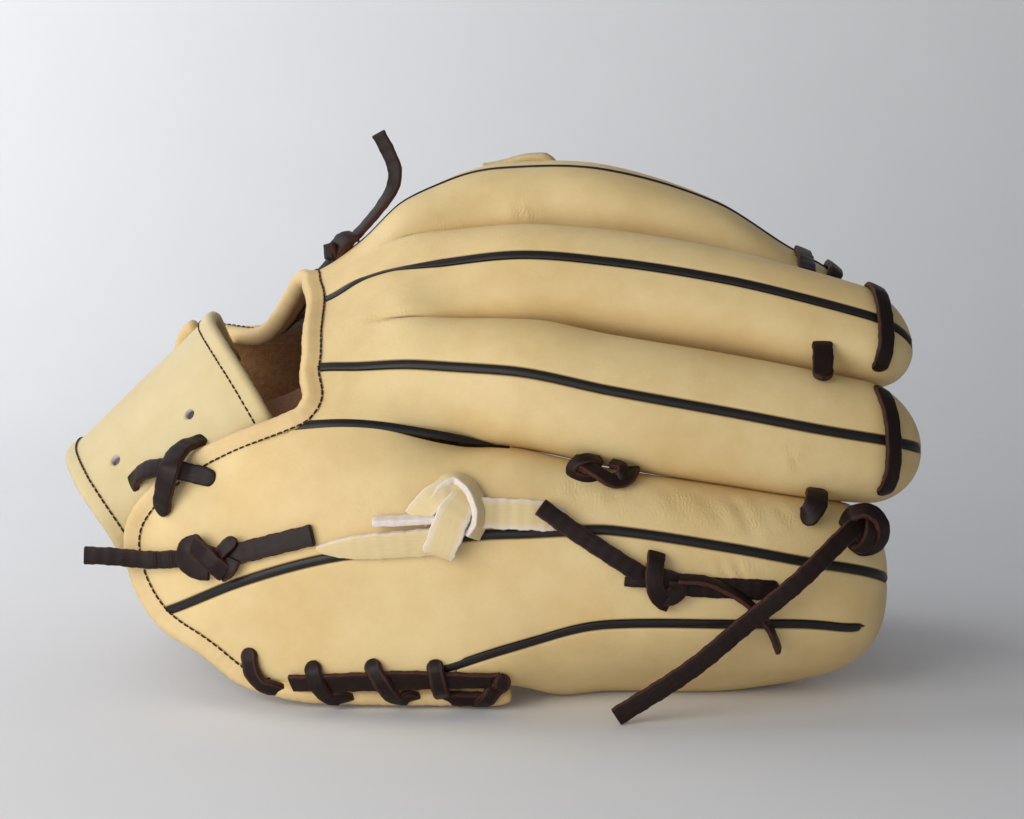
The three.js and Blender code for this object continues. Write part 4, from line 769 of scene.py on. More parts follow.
def leather_grain_group():
    """Fine pebbled grain and long soft wrinkles of full-grain leather, as a height in millimetres."""
    tree, given, made = new_group("leather_grain", [
        ("Pebble Size", "NodeSocketFloat", 1.1),
        ("Pebble Height", "NodeSocketFloat", 0.03),
        ("Wrinkle Height", "NodeSocketFloat", 0.25),
        ("Wrinkled", "NodeSocketFloat", 0.0),
    ], [("Height", "NodeSocketFloat"), ("Pores", "NodeSocketFloat")])
    place = tree.place()
    pebble_scale = tree.math("DIVIDE", 1 / MM, given.outputs["Pebble Size"])
    cells = tree.node("ShaderNodeTexVoronoi", feature="SMOOTH_F1")
    warp = tree.node("ShaderNodeTexNoise")
    tree.set(warp, Vector=place, Scale=420.0, Detail=2.0)
    bent = tree.node("ShaderNodeVectorMath", operation="MULTIPLY_ADD")
    tree.link(warp.outputs["Color"], bent.inputs[0])
    bent.inputs[1].default_value = (0.0012, 0.0012, 0.0012)
    tree.link(place, bent.inputs[2])
    tree.set(cells, Vector=bent.outputs[0], Scale=pebble_scale, Smoothness=0.6)
    pebble = tree.math("SUBTRACT", 1.0, cells.outputs["Distance"])
    fine = tree.noise(place, 0.5, 3.0, 0.6)
    patchy = tree.ramp(tree.noise(place, 16.0, 2.0), 0.38, 0.68, 0.35, 1.0)
    grain = tree.times(tree.plus(pebble, tree.times(fine, 0.7)), patchy)
    wave = tree.node("ShaderNodeTexWave", wave_type="BANDS", bands_direction="X", wave_profile="SIN")
    tree.set(wave, Vector=place, Scale=215.0, Distortion=11.0, Detail=3.0, Detail_Scale=1.3)
    broken = tree.times(wave.outputs["Fac"], tree.ramp(tree.noise(place, 5.0, 2.0), 0.4, 0.66))
    dimples = tree.plus(tree.times(broken, 0.8), tree.times(pebble, 0.5))
    folds = tree.times(dimples, given.outputs["Wrinkled"])
    height = tree.times(grain, given.outputs["Pebble Height"])
    height = tree.plus(height, tree.times(folds, given.outputs["Wrinkle Height"]))
    tree.link(height, made.inputs["Height"])
    tree.link(tree.ramp(fine, 0.6, 0.75), made.inputs["Pores"])
    return tree.tree


def mottle_group():
    """A colour that drifts between a paler and a deeper tone in soft clouds, with a finer speckle."""
    tree, given, made = new_group("leather_mottle", [
        ("Color", "NodeSocketColor", (0.5, 0.5, 0.5, 1)),
        ("Deep Color", "NodeSocketColor", (0.4, 0.4, 0.4, 1)),
        ("Cloud Amount", "NodeSocketFloat", 0.5),
        ("Speckle Amount", "NodeSocketFloat", 0.1),
    ], [("Color", "NodeSocketColor")])
    place = tree.place()
    clouds = tree.ramp(tree.noise(place, 42.0, 3.0, 0.55), 0.35, 0.7)
    small = tree.ramp(tree.noise(place, 7.0, 3.0, 0.6), 0.3, 0.75)
    both = tree.plus(tree.times(clouds, 0.7), tree.times(small, 0.3))
    share = tree.times(both, given.outputs["Cloud Amount"])
    cloudy = tree.mix(share, given.outputs["Color"], given.outputs["Deep Color"])
    specks = tree.ramp(tree.noise(place, 0.9, 2.0, 0.7), 0.5, 0.8)
    speckle = tree.times(specks, given.outputs["Speckle Amount"])
    tree.link(tree.mix(speckle, cloudy, given.outputs["Deep Color"]), made.inputs["Color"])
    return tree.tree


def suede_group():
    """The napped look of a cut or flesh side: a soft fibre height and a pale to dark fleck."""
    tree, given, made = new_group("suede_nap", [
        ("Fibre Size", "NodeSocketFloat", 0.35),
        ("Fibre Height", "NodeSocketFloat", 0.06),
    ], [("Height", "NodeSocketFloat"), ("Fleck", "NodeSocketFloat")])
    place = tree.place()
    scale = tree.math("DIVIDE", 1 / MM, given.outputs["Fibre Size"])
    fibres = tree.node("ShaderNodeTexNoise")
    tree.set(fibres, Vector=place, Scale=scale, Detail=4.0, Roughness=0.7)
    clumps = tree.noise(place, 1.8, 2.0)
    both = tree.plus(tree.times(fibres.outputs["Fac"], 0.7), tree.times(clumps, 0.3))
    tree.link(tree.times(both, given.outputs["Fibre Height"]), made.inputs["Height"])
    tree.link(tree.ramp(both, 0.35, 0.65), made.inputs["Fleck"])
    return tree.tree


def new_material(name, roughness, specular=0.35, sheen=0.0):
    material = bpy.data.materials.new(name)
    material.use_nodes = True
    tree = Tree(material.node_tree)
    shader = next(node for node in material.node_tree.nodes if node.type == "BSDF_PRINCIPLED")
    shader.inputs["Roughness"].default_value = roughness
    shader.inputs["Specular IOR Level"].default_value = specular
    shader.inputs["Sheen Weight"].default_value = sheen
    return material, tree, shader


def bumped(tree, shader, height):
    """Gives the shader a relief whose height is in millimetres."""
    bump = tree.node("ShaderNodeBump")
    tree.set(bump, Height=height, Strength=1.0, Distance=MM)
    tree.link(bump.outputs["Normal"], shader.inputs["Normal"])


def placed_group(tree, group, **values):
    made = tree.node("ShaderNodeGroup")
    made.node_tree = group
    return tree.set(made, **values)


def full_grain(name, pale, deep, seam_shade_tone, roughness, wrinkles, pebble):
    """Smooth full-grain leather: mottled and finely pebbled, with a warm line of painted shade where it turns
    into a seam or a hollow, and painted shade in its creases.
    """
    material, tree, shader = new_material(name, roughness)
    wrinkled = tree.mark("wrinkled")
    mottle = placed_group(tree, MOTTLE, Color=pale, Deep_Color=deep, Cloud_Amount=0.75, Speckle_Amount=0.14)
    # Painted shade: the seam mark darkens the colour towards the warm seam shade tone, along seams, binding
    # lips and the hollows between stalls.
    seam = tree.times(tree.ramp(tree.mark("seam"), 0.35, 1.0), 0.75)
    colour = tree.mix(seam, mottle.outputs["Color"], seam_shade_tone)
    # Painted shade: creases and wrinkles are darkened towards the deep tone.
    creased = tree.times(tree.ramp(wrinkled, 0.3, 1.0), 0.22)
    tree.link(tree.mix(creased, colour, deep), shader.inputs["Base Color"])
    grain = placed_group(tree, GRAIN, Pebble_Size=0.95, Pebble_Height=pebble, Wrinkle_Height=wrinkles,
                         Wrinkled=wrinkled)
    dull_pores = tree.times(grain.outputs["Pores"], 0.14)
    tree.link(tree.plus(roughness, dull_pores), shader.inputs["Roughness"])
    bumped(tree, shader, grain.outputs["Height"])
    return material


def suede(name, pale, dark, roughness=0.95, sheen=0.3):
    material, tree, shader = new_material(name, roughness, 0.15, sheen)
    nap = placed_group(tree, SUEDE, Fibre_Size=0.4, Fibre_Height=0.08)
    tree.link(tree.mix(nap.outputs["Fleck"], dark, pale), shader.inputs["Base Color"])
    bumped(tree, shader, nap.outputs["Height"])
    return material


def rawhide(name, dark, streak, edge, roughness, specular=0.32):
    """Oiled lace leather: a dark face with lengthwise streaks and redder, napped cut edges."""
    material, tree, shader = new_material(name, roughness, specular)
    flat = tree.node("ShaderNodeUVMap", uv_map="flat").outputs["UV"]
    lengthwise = tree.stretched(flat, (0.12, 1.6, 1.0))
    streaks = tree.node("ShaderNodeTexNoise")
    tree.set(streaks, Vector=lengthwise, Scale=1.0, Detail=4.0, Roughness=0.65)
    streaky = tree.ramp(streaks.outputs["Fac"], 0.42, 0.72)
    nap = placed_group(tree, SUEDE, Fibre_Size=0.45, Fibre_Height=0.1)
    worn = tree.times(tree.mark("cut_edge"), tree.ramp(nap.outputs["Fleck"], 0.0, 1.0, 0.45, 1.0))
    face = tree.mix(tree.times(streaky, 0.6), dark, streak)
    tree.link(tree.mix(worn, face, edge), shader.inputs["Base Color"])
    tree.link(tree.plus(roughness, tree.times(worn, 0.3)), shader.inputs["Roughness"])
    napped = tree.times(nap.outputs["Height"], tree.ramp(tree.mark("cut_edge"), 0.0, 1.0, 0.3, 1.0))
    rough = tree.plus(tree.times(streaks.outputs["Fac"], 0.05), napped)
    bumped(tree, shader, rough)
    return material


GRAIN = leather_grain_group()
MOTTLE = mottle_group()
SUEDE = suede_group()

# The third colour of each full-grain leather is the warm tone of its painted shade at seams and hollows.
SHELL = full_grain("cream_shell_leather", srgb(224, 199, 146), srgb(206, 174, 116), srgb(112, 70, 34),
                   roughness=0.5, wrinkles=0.12, pebble=0.05)
STRAP = full_grain("pale_strap_leather", srgb(208, 191, 147), srgb(194, 172, 124), srgb(120, 78, 42),
                   roughness=0.55, wrinkles=0.1, pebble=0.04)
BINDING = full_grain("binding_leather", srgb(220, 192, 140), srgb(198, 164, 108), srgb(112, 70, 36),
                     roughness=0.48, wrinkles=0.15, pebble=0.05)
FLESH = suede("flesh_side", srgb(160, 116, 76), srgb(118, 80, 48))
CUT_SUEDE = suede("cut_suede_edge", srgb(206, 200, 204), srgb(170, 156, 154), sheen=0.4)
CUT_TAN = suede("cut_tan_edge", srgb(220, 198, 150), srgb(200, 174, 124), 0.8, 0.1)
LINING = suede("lining_leather", srgb(158, 108, 70), srgb(120, 76, 44), 0.7, 0.1)
RAWHIDE = rawhide("dark_rawhide", srgb(26, 15, 13), srgb(48, 28, 23), srgb(80, 46, 36), 0.46, 0.2)
WELTING = rawhide("satin_welting", srgb(25, 22, 20), srgb(36, 31, 28), srgb(36, 29, 25), 0.42)
THREAD = suede("waxed_thread", srgb(60, 44, 34), srgb(34, 24, 18), 0.6, 0.0)


# Shell panels

def web_seam(x):
    """How far the seam beside the web stands open: it closes towards the web."""
    return 1 - smoothstep(x, -14, -5)


def build_panels():
    shut = lambda x: 1 - smoothstep(x, -9, -1)
    under_start = lambda t: np.full(t.shape, HEEL_SEAM_X + 0.3)
    thumb_side_start = lambda t: wrist_edge(11, 12)(t) + UNDER_BINDING - 1
    panels = {
        "pinky_back": half_panel("pinky_back", shut),
        "ring_half": half_panel("ring_low", shut),
        "ring_middle": half_panel("ring_high") + half_panel("middle_low"),
        "middle_index": half_panel("middle_high") + half_panel("index_low"),
        "index_side": half_panel("index_high", web_seam),
        "pinky_under": half_panel("pinky_under", None, under_start),
        "thumb_side": half_panel("thumb_high", None, thumb_side_start),
        "thumb_back": thumb_back_patches(),
        "pinky_side": pinky_side_patches(),
    }
    for name, patches in panels.items():
        leather_sheet(name + "_leather", patches, LEATHER, name + "_panel", [SHELL, FLESH])
    leather_sheet("palm_leather", palm_patches(), PALM_LEATHER, "palm_shell", [SHELL, FLESH])


def thumb_back_patches():
    """Half the thumb stall with its hand, and the hand's leather from there to the web seam."""
    rows = whole_rows(STALLS["thumb"])
    hand_rows = np.append(rows[rows < 0], 0)
    surface = lambda x, e: beyond_thumb_point(np.minimum(x, CROTCH_X - 0.4), e)

    def x_at(row, e):
        at = lerp(THUMB_SIDE_AT, WEB_SEAM_AT, e)
        start = start_of(BACK_LINES, at) - UNDER_BINDING
        return lerp(start, CROTCH_X, row + 1)

    beyond = panel_patch(surface, x_at, hand_rows, 0, 1, -1, None, web_seam)
    return half_panel("thumb_low") + [beyond]


ROW_SHIFT = 1000             # keeps lengths behind the crotch apart from shares of the heel
HEEL_ROWS = 56               # rows of the little finger's side: its heel, the hand, and the stall
HAND_ROWS = 14
PINKY_STEPS = 78


def pinky_side_patches():
    """The little finger's outer side from the wrist to its tip, and the heel below it down to the floor."""
    stall = STALLS["pinky"]
    heel = np.linspace(-1, 0, HEEL_ROWS)
    hand = np.linspace(HEEL_SEAM_X, CROTCH_X, HAND_ROWS)[1:-1]
    after = np.concatenate([hand, stall_rows(stall, PINKY_STEPS)])

    def x_at(row, t):
        start = start_of(BACK_LINES, 2 - t) - UNDER_BINDING
        return np.where(row <= 0, lerp(start, HEEL_SEAM_X, row + 1), row - ROW_SHIFT)

    rows = np.concatenate([heel, after + ROW_SHIFT])
    shut = lambda x: 1 - smoothstep(x, *PINKY_SEAM_CLOSES)
    lower_seam = lambda x: smoothstep(x, HEEL_SEAM_X, HEEL_SEAM_X + 3) * shut(x)
    upper_seam = lambda x: np.ones_like(x)
    side = panel_patch(pinky_side_point, x_at, rows, 0, 1, -1, upper_seam, lower_seam, CREASES["pinky_side"])
    floor_edge = panel_patch(pinky_side_point, x_at, heel, 1, 2, -1, None, None)
    return [side, floor_edge]


def palm_patches():
    """The palm and the stalls' fronts: each has a place across the palm, and shares its edges or not."""
    fronts = [("pinky", 0, (False, True)), ("ring", 1, (True, True)), ("middle", 2, (True, True)),
              ("index", 3, (True, False)), (None, 4, None), ("thumb", 5, (False, False))]
    patches = []
    for name, at, shared in fronts:
        stall = STALLS[name] if name else STALLS["index"]

        def front(x, c, name=name, at=at, shared=shared, stall=stall):
            x, c = paired(x, c)
            hull = palm_point(np.minimum(x, CROTCH_X), at + c)
            if name is None:
                inner_x = CROTCH_X - 1
                edge_normal = normals_of(beyond_thumb_point, np.full_like(c, inner_x), 1 - c, -1)
                turned = beyond_thumb_point(inner_x, 1 - c) - edge_normal * (LEATHER + 0.7)
                return lerp(hull, turned, np.clip(x - CROTCH_X, 0, 1)[..., None])
            angle = lambda share: lerp(180 + FRONT_ANGLE, 360 - FRONT_ANGLE, share)
            bulge = np.minimum(1, 6 * c * (1 - c))
            on_stall = stall_point(stall, x, angle(c))
            on_hand = lerp(hull, on_stall, (bulge * smoothstep(x, PALM_BLEND_X, CROTCH_X))[..., None])
            edge = np.round(c).astype(int)
            open_edge = np.array(shared)[edge]
            shift = palm_point(CROTCH_X, at + edge) - stall_point(stall, CROTCH_X, angle(edge))
            fade = (1 - smoothstep(x, CROTCH_X, CROTCH_X + CROTCH_BLEND)) * (1 - bulge) * open_edge
            beyond = on_stall + shift * np.array([0, 1, 1]) * fade[..., None]
            return np.where((x < CROTCH_X)[..., None], on_hand, beyond)

        start = lambda c, at=at: start_of(PALM_LINES, at + c) - UNDER_BINDING / 2
        rows = whole_rows(stall, hand_steps=40, steps=60)
        if name is None:
            rows = np.append(rows[rows <= CROTCH_X], CROTCH_X + 1)
        patches.append(panel_patch(front, sheared(start), rows, 0, 1, -1))
    return patches


# Swept pieces: piping, bindings, laces and stitches

class Strips:
    """Closed strips gathered into one mesh, with lengthwise coordinates and a mark on their cut edges."""

    def __init__(self):
        self.points, self.faces, self.flat, self.edge, self.count = [], [], [], [], 0

    def add(self, points, flat, edge):
        """points is (stations, outline, 3); the strip is closed round its outline and capped at both ends."""
        rows, columns = points.shape[:2]
        self.faces += grid_faces(rows, columns, self.count, -1, around=True).tolist()
        self.faces.append([self.count + k for k in range(columns)][::-1])
        last = self.count + (rows - 1) * columns
        self.faces.append([last + k for k in range(columns)])
        self.points.append(points.reshape(-1, 3))
        self.flat.append(flat.reshape(-1, 2))
        self.edge.append(np.broadcast_to(edge, points.shape[:2]).ravel())
        self.count += rows * columns

    def finish(self, name, materials, nodes=()):
        marks = {"cut_edge": np.concatenate(self.edge)}
        return add_object(name, np.concatenate(self.points), self.faces, materials, nodes,
                          marks, np.concatenate(self.flat))


def curve_through(points, spacing):
    """A smooth curve through points, as places spaced evenly in millimetres, and the share along each."""
    points = np.asarray(points, float)
    chord = np.sqrt(np.linalg.norm(np.diff(points, axis=0), axis=1))
    knots = np.concatenate([[0], chord.cumsum()])
    tries = np.linspace(0, knots[-1], 40 * len(points))
    run = run_of(smooth_at(knots, points, tries))
    count = max(4, int(run[-1] / spacing) + 1)
    places = np.interp(np.linspace(0, run[-1], count), run, tries)
    return smooth_at(knots, points, places), np.interp(places, knots, np.arange(len(points)))


def strip_frames(path, faces):
    """The ways across a strip and out of its face at each of its points."""
    tangent = unit(np.gradient(path, axis=0))
    out = unit(faces - np.sum(faces * tangent, axis=-1, keepdims=True) * tangent)
    return np.cross(out, tangent), out


def band_outline(half_wide, half_thick, corner, crown=0.1):
    """Section of a flat lace, from its +wide edge round to it again: rounded corners and crowned faces."""
    turn = np.radians([0, 30, 60, 90])
    faces_across = np.array([0.6, 0.2, -0.2, -0.6])
    wide, thick = [], []
    for quarter, (sign_wide, sign_thick) in enumerate(((1, 1), (-1, 1), (-1, -1), (1, -1))):
        angle = turn + quarter * np.pi / 2
        wide += list(sign_wide * (half_wide - corner) + corner * np.cos(angle))
        thick += list(sign_thick * (half_thick - corner) + corner * np.sin(angle))
        if quarter in (0, 2):
            across = faces_across * (1 if quarter == 0 else -1)
            wide += list(across * (half_wide - corner))
            thick += list(sign_thick * (half_thick + crown * (1 - across ** 2)))
    return np.array(wide), np.array(thick)


BAND_STEP = 0.8              # stations along a band
CREASE_STEP = 0.22           # and along one that is finely creased
CREASE_DEEP = 0.5
END_ROUND = 0.45             # radius of a band's cut ends
UNEVEN = 0.05                # how much its width and thickness vary
END_BEVEL = np.radians([0, 25, 50, 75])
HOLE_TURN = 0.5              # length of an end that goes down into a hole, as a share of its width
BACK_OF_GRAIN = 40           # sets the under face's streaks apart from the upper face's
BAND_CORNER = 0.55
CUT_EDGE = (0.78, 0.97)      # where the mark of the cut edges starts and is full, as shares of half a width


def hand_cut(run):
    """Slow and quick waves of a hand-cut edge along its run."""
    return np.sin(run * 0.9) + 0.6 * np.sin(run * 2.3 + 1.0)


def add_band(strips, path, faces, width, thick, holes=False, widths=None, napped=False, creased=None):
    """
    A flat lace along a route: control points, and the way its face is turned at each. Its ends are cut
    square, or rounded where they go down into holes; widths are shares of its width at the control points,
    and creased is the stretch that is finely creased across, from and to in millimetres.
    """
    spacing = CREASE_STEP if creased else BAND_STEP
    path, share = curve_through(path, spacing)
    faces = smooth_at(np.arange(len(faces)), np.asarray(faces, float), share)
    run = run_of(path)
    total = run[-1]
    bevel = END_ROUND * (1 - np.cos(END_BEVEL))
    inner = np.linspace(END_ROUND, total - END_ROUND, max(3, int(total / spacing)))
    stations = np.concatenate([bevel, inner, total - bevel[::-1]])
    path = straight_at(stations, run, path)
    faces = straight_at(stations, run, faces)
    share = np.interp(stations, run, share)
    wide_way, out_way = strip_frames(path, faces)
    from_end = np.minimum(stations, total - stations)
    rounded = np.clip(END_ROUND - from_end, 0, END_ROUND)
    inset = END_ROUND - np.sqrt(np.maximum(END_ROUND ** 2 - rounded ** 2, 0))
    half_wide = width / 2 * (1 + UNEVEN * 0.6 * hand_cut(stations))
    if widths is not None:
        half_wide = half_wide * between(np.arange(len(widths)), widths, share)
    if holes:
        past = np.clip(1 - from_end / (HOLE_TURN * width), 0, 0.97)
        half_wide = half_wide * np.sqrt(1 - past ** 2.3)
    half_thick = thick / 2 * (1 + UNEVEN * np.sin(stations * 1.4 + 2))
    if creased:
        start, end = creased
        inside = smoothstep(stations, start, start + 3) * (1 - smoothstep(stations, end - 2, end))
        lines = np.sin(stations * 4.6 + 1.6 * np.sin(stations * 1.1)) ** 4
        path = path - out_way * (CREASE_DEEP * inside * lines)[:, None]
    rings, flats = [], []
    corner = min(BAND_CORNER, 0.45 * thick)
    for i in range(len(stations)):
        wide, deep = band_outline(half_wide[i] - inset[i], half_thick[i] - inset[i], corner)
        rings.append(path[i] + wide[:, None] * wide_way[i] + deep[:, None] * out_way[i])
        across = wide + np.where(deep < 0, BACK_OF_GRAIN, 0)
        flats.append(np.stack([np.full_like(wide, stations[i]), across], axis=-1))
    edge = smoothstep(np.abs(wide) / np.abs(wide).max(), *CUT_EDGE)
    rings = np.array(rings)
    rings[..., 2] = np.maximum(rings[..., 2], LACE_OFF_FLOOR)
    strips.add(rings, np.array(flats), np.ones((1, len(edge))) if napped else edge[None, :])


BESIDE_CREST = 0.03          # the place t nearest to a crest where a normal is taken


def skin_of(name):
    """The surface of half a stall or of the little finger's side, and which way round its normals face."""
    if name == "pinky_side":
        return pinky_side_point, -1
    facing = 1 if HALVES[name]["side"] == "high" else -1
    return (lambda x, t: half_point(name, x, t)), facing


PINKY_SEAM_END = 125.4
WELT_HALF_WIDE = 1.42
WELT_HALF_THICK = 0.8
WELTS = [
    {"name": "pinky_lower_welt", "on": "pinky_under", "from": HEEL_SEAM_X - 5.2, "to": PINKY_SEAM_END},
    {"name": "pinky_upper_welt", "on": "pinky_back", "from": -117.5, "to": 135.2},
    {"name": "ring_welt", "on": "ring_low", "from": -64.5, "to": 146},
    {"name": "middle_welt", "on": "middle_low", "from": -65, "to": 145},
    {"name": "index_welt", "on": "index_low", "from": -69, "to": 128},
    {"name": "thumb_welt", "on": "thumb_low", "from": -121, "to": 96},
]
SEAM_WELTS = [
    {"name": "ring_side_welt", "at": 3, "from": -69, "to": 0.5,
     "wide": [(-69, 1.25), (-58, 1.1), (-20, 1.0), (-8, 0.85), (0.5, 0.2)]},
    {"name": "web_seam_welt", "at": 9, "from": -85, "to": -4, "wide": [(-82, 1.0), (-10, 1.0), (-4, 0.3)]},
]


def build_welts():
    for welt in WELTS:
        surface, facing = skin_of(welt["on"])
        places = welt_places(welt, STALLS[HALVES[welt["on"]]["stall"]])
        normals = normals_of(surface, places, np.full_like(places, BESIDE_CREST), facing)
        widths = seam_opening(HALVES[welt["on"]]["stall"], places)
        add_welt(welt, surface(places, 0) - normals * (WELT_HALF_THICK - 0.25), normals, widths)
    for welt in SEAM_WELTS:
        places = np.arange(welt["from"], welt["to"], 1.0)
        at = np.full_like(places, welt["at"])
        normals = normals_of(back_point, places, at, 1)
        widths = np.interp(places, [x for x, _ in welt["wide"]], [share for _, share in welt["wide"]])
        add_welt(welt, back_point(places, at) - normals * (WELT_HALF_THICK - 0.2), normals, widths)


def welt_places(welt, stall):
    """Lengths along a welt: even up to the stall's dome, then close together round its tip."""
    dome_from = stall["tip"] - stall["round"]
    past = (welt["to"] - dome_from) / stall["round"]
    turn = np.linspace(0, math.asin(min(1, past)), 26)[1:]
    straight = np.arange(welt["from"], dome_from, 1.2)
    return np.concatenate([straight, dome_from + stall["round"] * np.sin(turn)])


WELT_CORNER = 0.35
WELT_CROWN = 0.22


def add_welt(welt, path, normals, widths):
    strips = Strips()
    wide_way, out_way = strip_frames(path, normals)
    rings, flats = [], []
    run = run_of(path)
    for i in range(len(path)):
        end = min(1, 0.35 + min(run[i], run[-1] - run[i]) / 1.2)
        half_wide = WELT_HALF_WIDE * widths[i] * end
        wide, deep = band_outline(half_wide, WELT_HALF_THICK * end, WELT_CORNER, WELT_CROWN)
        rings.append(path[i] + wide[:, None] * wide_way[i] + deep[:, None] * out_way[i])
        flats.append(np.stack([np.full_like(wide, run[i]), wide], axis=-1))
    strips.add(pressed_flat(np.array(rings)), np.array(flats), np.zeros((1, len(wide))))
    strips.finish("satin_" + welt["name"], [WELTING], [welt["name"]])


LIP_EDGE = 0.25              # thickness of a binding's lip at its edge, and beside its roll
LIP_FOLD = 0.55


def binding_outline(radius, half_leather, lip, inner_lip):
    """Section of a rolled binding: round outside, and a thin lip over both faces of the leather it holds."""
    turn = np.radians(np.linspace(80, 280, 15))
    edge = half_leather + LIP_EDGE
    fold = half_leather + LIP_FOLD
    slope = lerp(radius, fold, 0.62)
    wide = list(radius * np.cos(turn))
    thick = list(radius * np.sin(turn))
    lower = [(inner_lip * 0.45, -slope), (inner_lip * 0.8, -fold), (inner_lip, -edge)]
    upper = [(lip, edge), (lip * 0.8, fold), (lip * 0.45, slope)]
    for x, y in lower + [(lip, 0)] + upper:
        wide.append(x)
        thick.append(y)
    return np.array(wide), np.array(thick)


def add_binding(name, node, path, normals, radius, half_leather, lip, inward_at_start, material,
                inner_lip=None, joined=False):
    """A rolled binding with a row of stitches on each lip; a joined one doesn't narrow at its start."""
    inner_lip = inner_lip or lip
    path, share = curve_through(path, 1.1)
    normals = smooth_at(np.arange(len(normals)), normals, share)
    wide_way, out_way = strip_frames(path, normals)
    sign = 1 if wide_way[0] @ inward_at_start > 0 else -1
    wide, deep = binding_outline(radius, half_leather, lip, inner_lip)
    if sign > 0:
        wide, deep = wide[::-1], deep[::-1]
    run = run_of(path)
    puff = 1 + 0.03 * np.sin(run * 1.9) + 0.02 * np.sin(run * 0.7 + 1)
    to_end = run[-1] - run if joined else np.minimum(run, run[-1] - run)
    end = np.minimum(1, 0.5 + to_end / 2.2)
    scale = (puff * end)[:, None, None]
    across = sign * wide[None, :, None] * wide_way[:, None]
    rings = path[:, None] + scale * (across + deep[None, :, None] * out_way[:, None])
    rings[..., 2] = np.maximum(rings[..., 2], LEATHER_OFF_FLOOR)
    points = rings.reshape(-1, 3)
    rows, columns = rings.shape[:2]
    faces = grid_faces(rows, columns, 0, -1, around=True).tolist()
    faces += [[k for k in range(columns)][::-1], [(rows - 1) * columns + k for k in range(columns)]]
    # Painted shade: the lips' edges, where they meet the leather, darken towards the warm seam shade tone.
    seam = smoothstep(np.broadcast_to(wide[None, :], (rows, columns)).ravel(), lip * 0.72, lip)
    marks = {"seam": seam * 0.8, "wrinkled": np.zeros(len(points))}
    add_object(name, points, faces, [material], [node], marks)
    inward = sign * wide_way
    sewn = path + inward * lip * STITCH_ON_LIP + out_way * (half_leather + STITCH_PROUD)
    add_stitches(name + "_thread", sewn, out_way)
    inner = path + inward * inner_lip * STITCH_ON_LIP - out_way * (half_leather + STITCH_PROUD)
    add_stitches(name + "_inner_thread", inner, -out_way)


STITCH_ON_LIP = 0.93
STITCH_PROUD = 0.55
STITCH_PITCH = 2.45
STITCH_LONG = 2.1
STITCH_RADIUS = 0.36
# A stitch's stations along it, and its thickness and height there as shares of its radius
STITCH_PLACES = np.array([-0.5, -0.36, 0, 0.36, 0.5])
STITCH_THICK = np.array([0.35, 0.9, 1, 0.9, 0.35])
STITCH_RISE = np.array([-0.5, -0.1, 0, -0.1, -0.5])
STITCH_SIDES = 6


def add_stitches(name, path, normals):
    """A row of short thread stitches, each a bent capsule half sunk in the leather."""
    run = run_of(path)
    strips = Strips()
    turn = np.linspace(0, 2 * np.pi, STITCH_SIDES + 1)[:-1]
    stations = len(STITCH_PLACES)
    for middle in np.arange(STITCH_PITCH, run[-1] - STITCH_PITCH / 2, STITCH_PITCH):
        places = middle + STITCH_LONG * STITCH_PLACES
        centre = straight_at(places, run, path)
        wide_way, out_way = strip_frames(centre, straight_at(places, run, normals))
        centre = centre + out_way * (STITCH_RISE * STITCH_RADIUS)[:, None]
        ring = np.cos(turn)[:, None] * wide_way[:, None] + np.sin(turn)[:, None] * out_way[:, None]
        points = centre[:, None] + ring * (STITCH_RADIUS * STITCH_THICK)[:, None, None]
        strips.add(points, np.zeros((stations, STITCH_SIDES, 2)), np.zeros((1, STITCH_SIDES)))
    strips.finish(name, [THREAD])


PALM_BINDING_RADIUS = 2.6
PALM_BINDING_LIP = 3.8
PALM_ACROSS = (0.25, 5.75)   # the palm's rolled edge and its lining run between these places across
# Each runs between two places across the back; extra holds the points by which it goes on along the floor
EDGE_BINDINGS = [
    {"name": "back_opening", "from": 2.36, "to": 9.7, "inner_lip": 7.4, "joined": True, "extra": []},
    {"name": "heel", "from": 2.36, "to": 0.4, "joined": True,
     "extra": [(-69, -64.6, 5.8), (-60, -65.4, 4.8), (-36, -66.4, 4.4), (-12, -67, 4.4), (0, -67.6, 4.5),
               (6.4, -67.2, 5.4)]},
    {"name": "thumb_heel", "from": 9.85, "to": 11.9,
     "extra": [(-74, 76, 4.4), (-64, 77.5, 2.96), (-50, 78.5, 2.96), (-30, 79, 2.96)]},
]


def build_bindings():
    for binding in EDGE_BINDINGS:
        count = int(abs(binding["to"] - binding["from"]) * 12)
        at = np.linspace(binding["from"], binding["to"], count)
        start = start_of(BACK_LINES, at)
        edge = back_point(start, at)
        along = back_point(start + 1, at) - edge
        tangent = unit(np.gradient(edge, axis=0))
        inward = unit(along - np.sum(along * tangent, axis=-1, keepdims=True) * tangent)
        across = back_point(start, at + 0.05) - back_point(start, at - 0.05)
        normal = unit(np.cross(across, -along))
        path = edge - inward * (BINDING_RADIUS + BINDING_GAP) - normal * LEATHER / 2
        normals = normal
        if binding["extra"]:
            path = np.concatenate([path, np.array(binding["extra"], float)])
            normals = np.concatenate([normals, np.tile([0.0, 0.0, 1.0], (len(binding["extra"]), 1))])
        name = binding["name"]
        add_binding(name + "_rolled_binding", name + "_binding", path, normals, BINDING_RADIUS, LEATHER / 2,
                    BINDING_RADIUS + BINDING_GAP + 0.6, inward[0], BINDING,
                    binding.get("inner_lip"), binding.get("joined", False))
    at = np.linspace(*PALM_ACROSS, 60)
    start = start_of(PALM_LINES, at)
    normal = normals_of(palm_point, start, at, -1)
    beyond = np.array([PALM_BINDING_RADIUS + BINDING_GAP, 0, 0])
    path = palm_point(start, at) - beyond - normal * PALM_LEATHER / 2
    add_binding("palm_heel_rolled_binding", "palm_heel_binding", path, normal, PALM_BINDING_RADIUS,
                PALM_LEATHER / 2, PALM_BINDING_LIP, np.array([1.0, 0, 0]), BINDING)


# Wrist strap

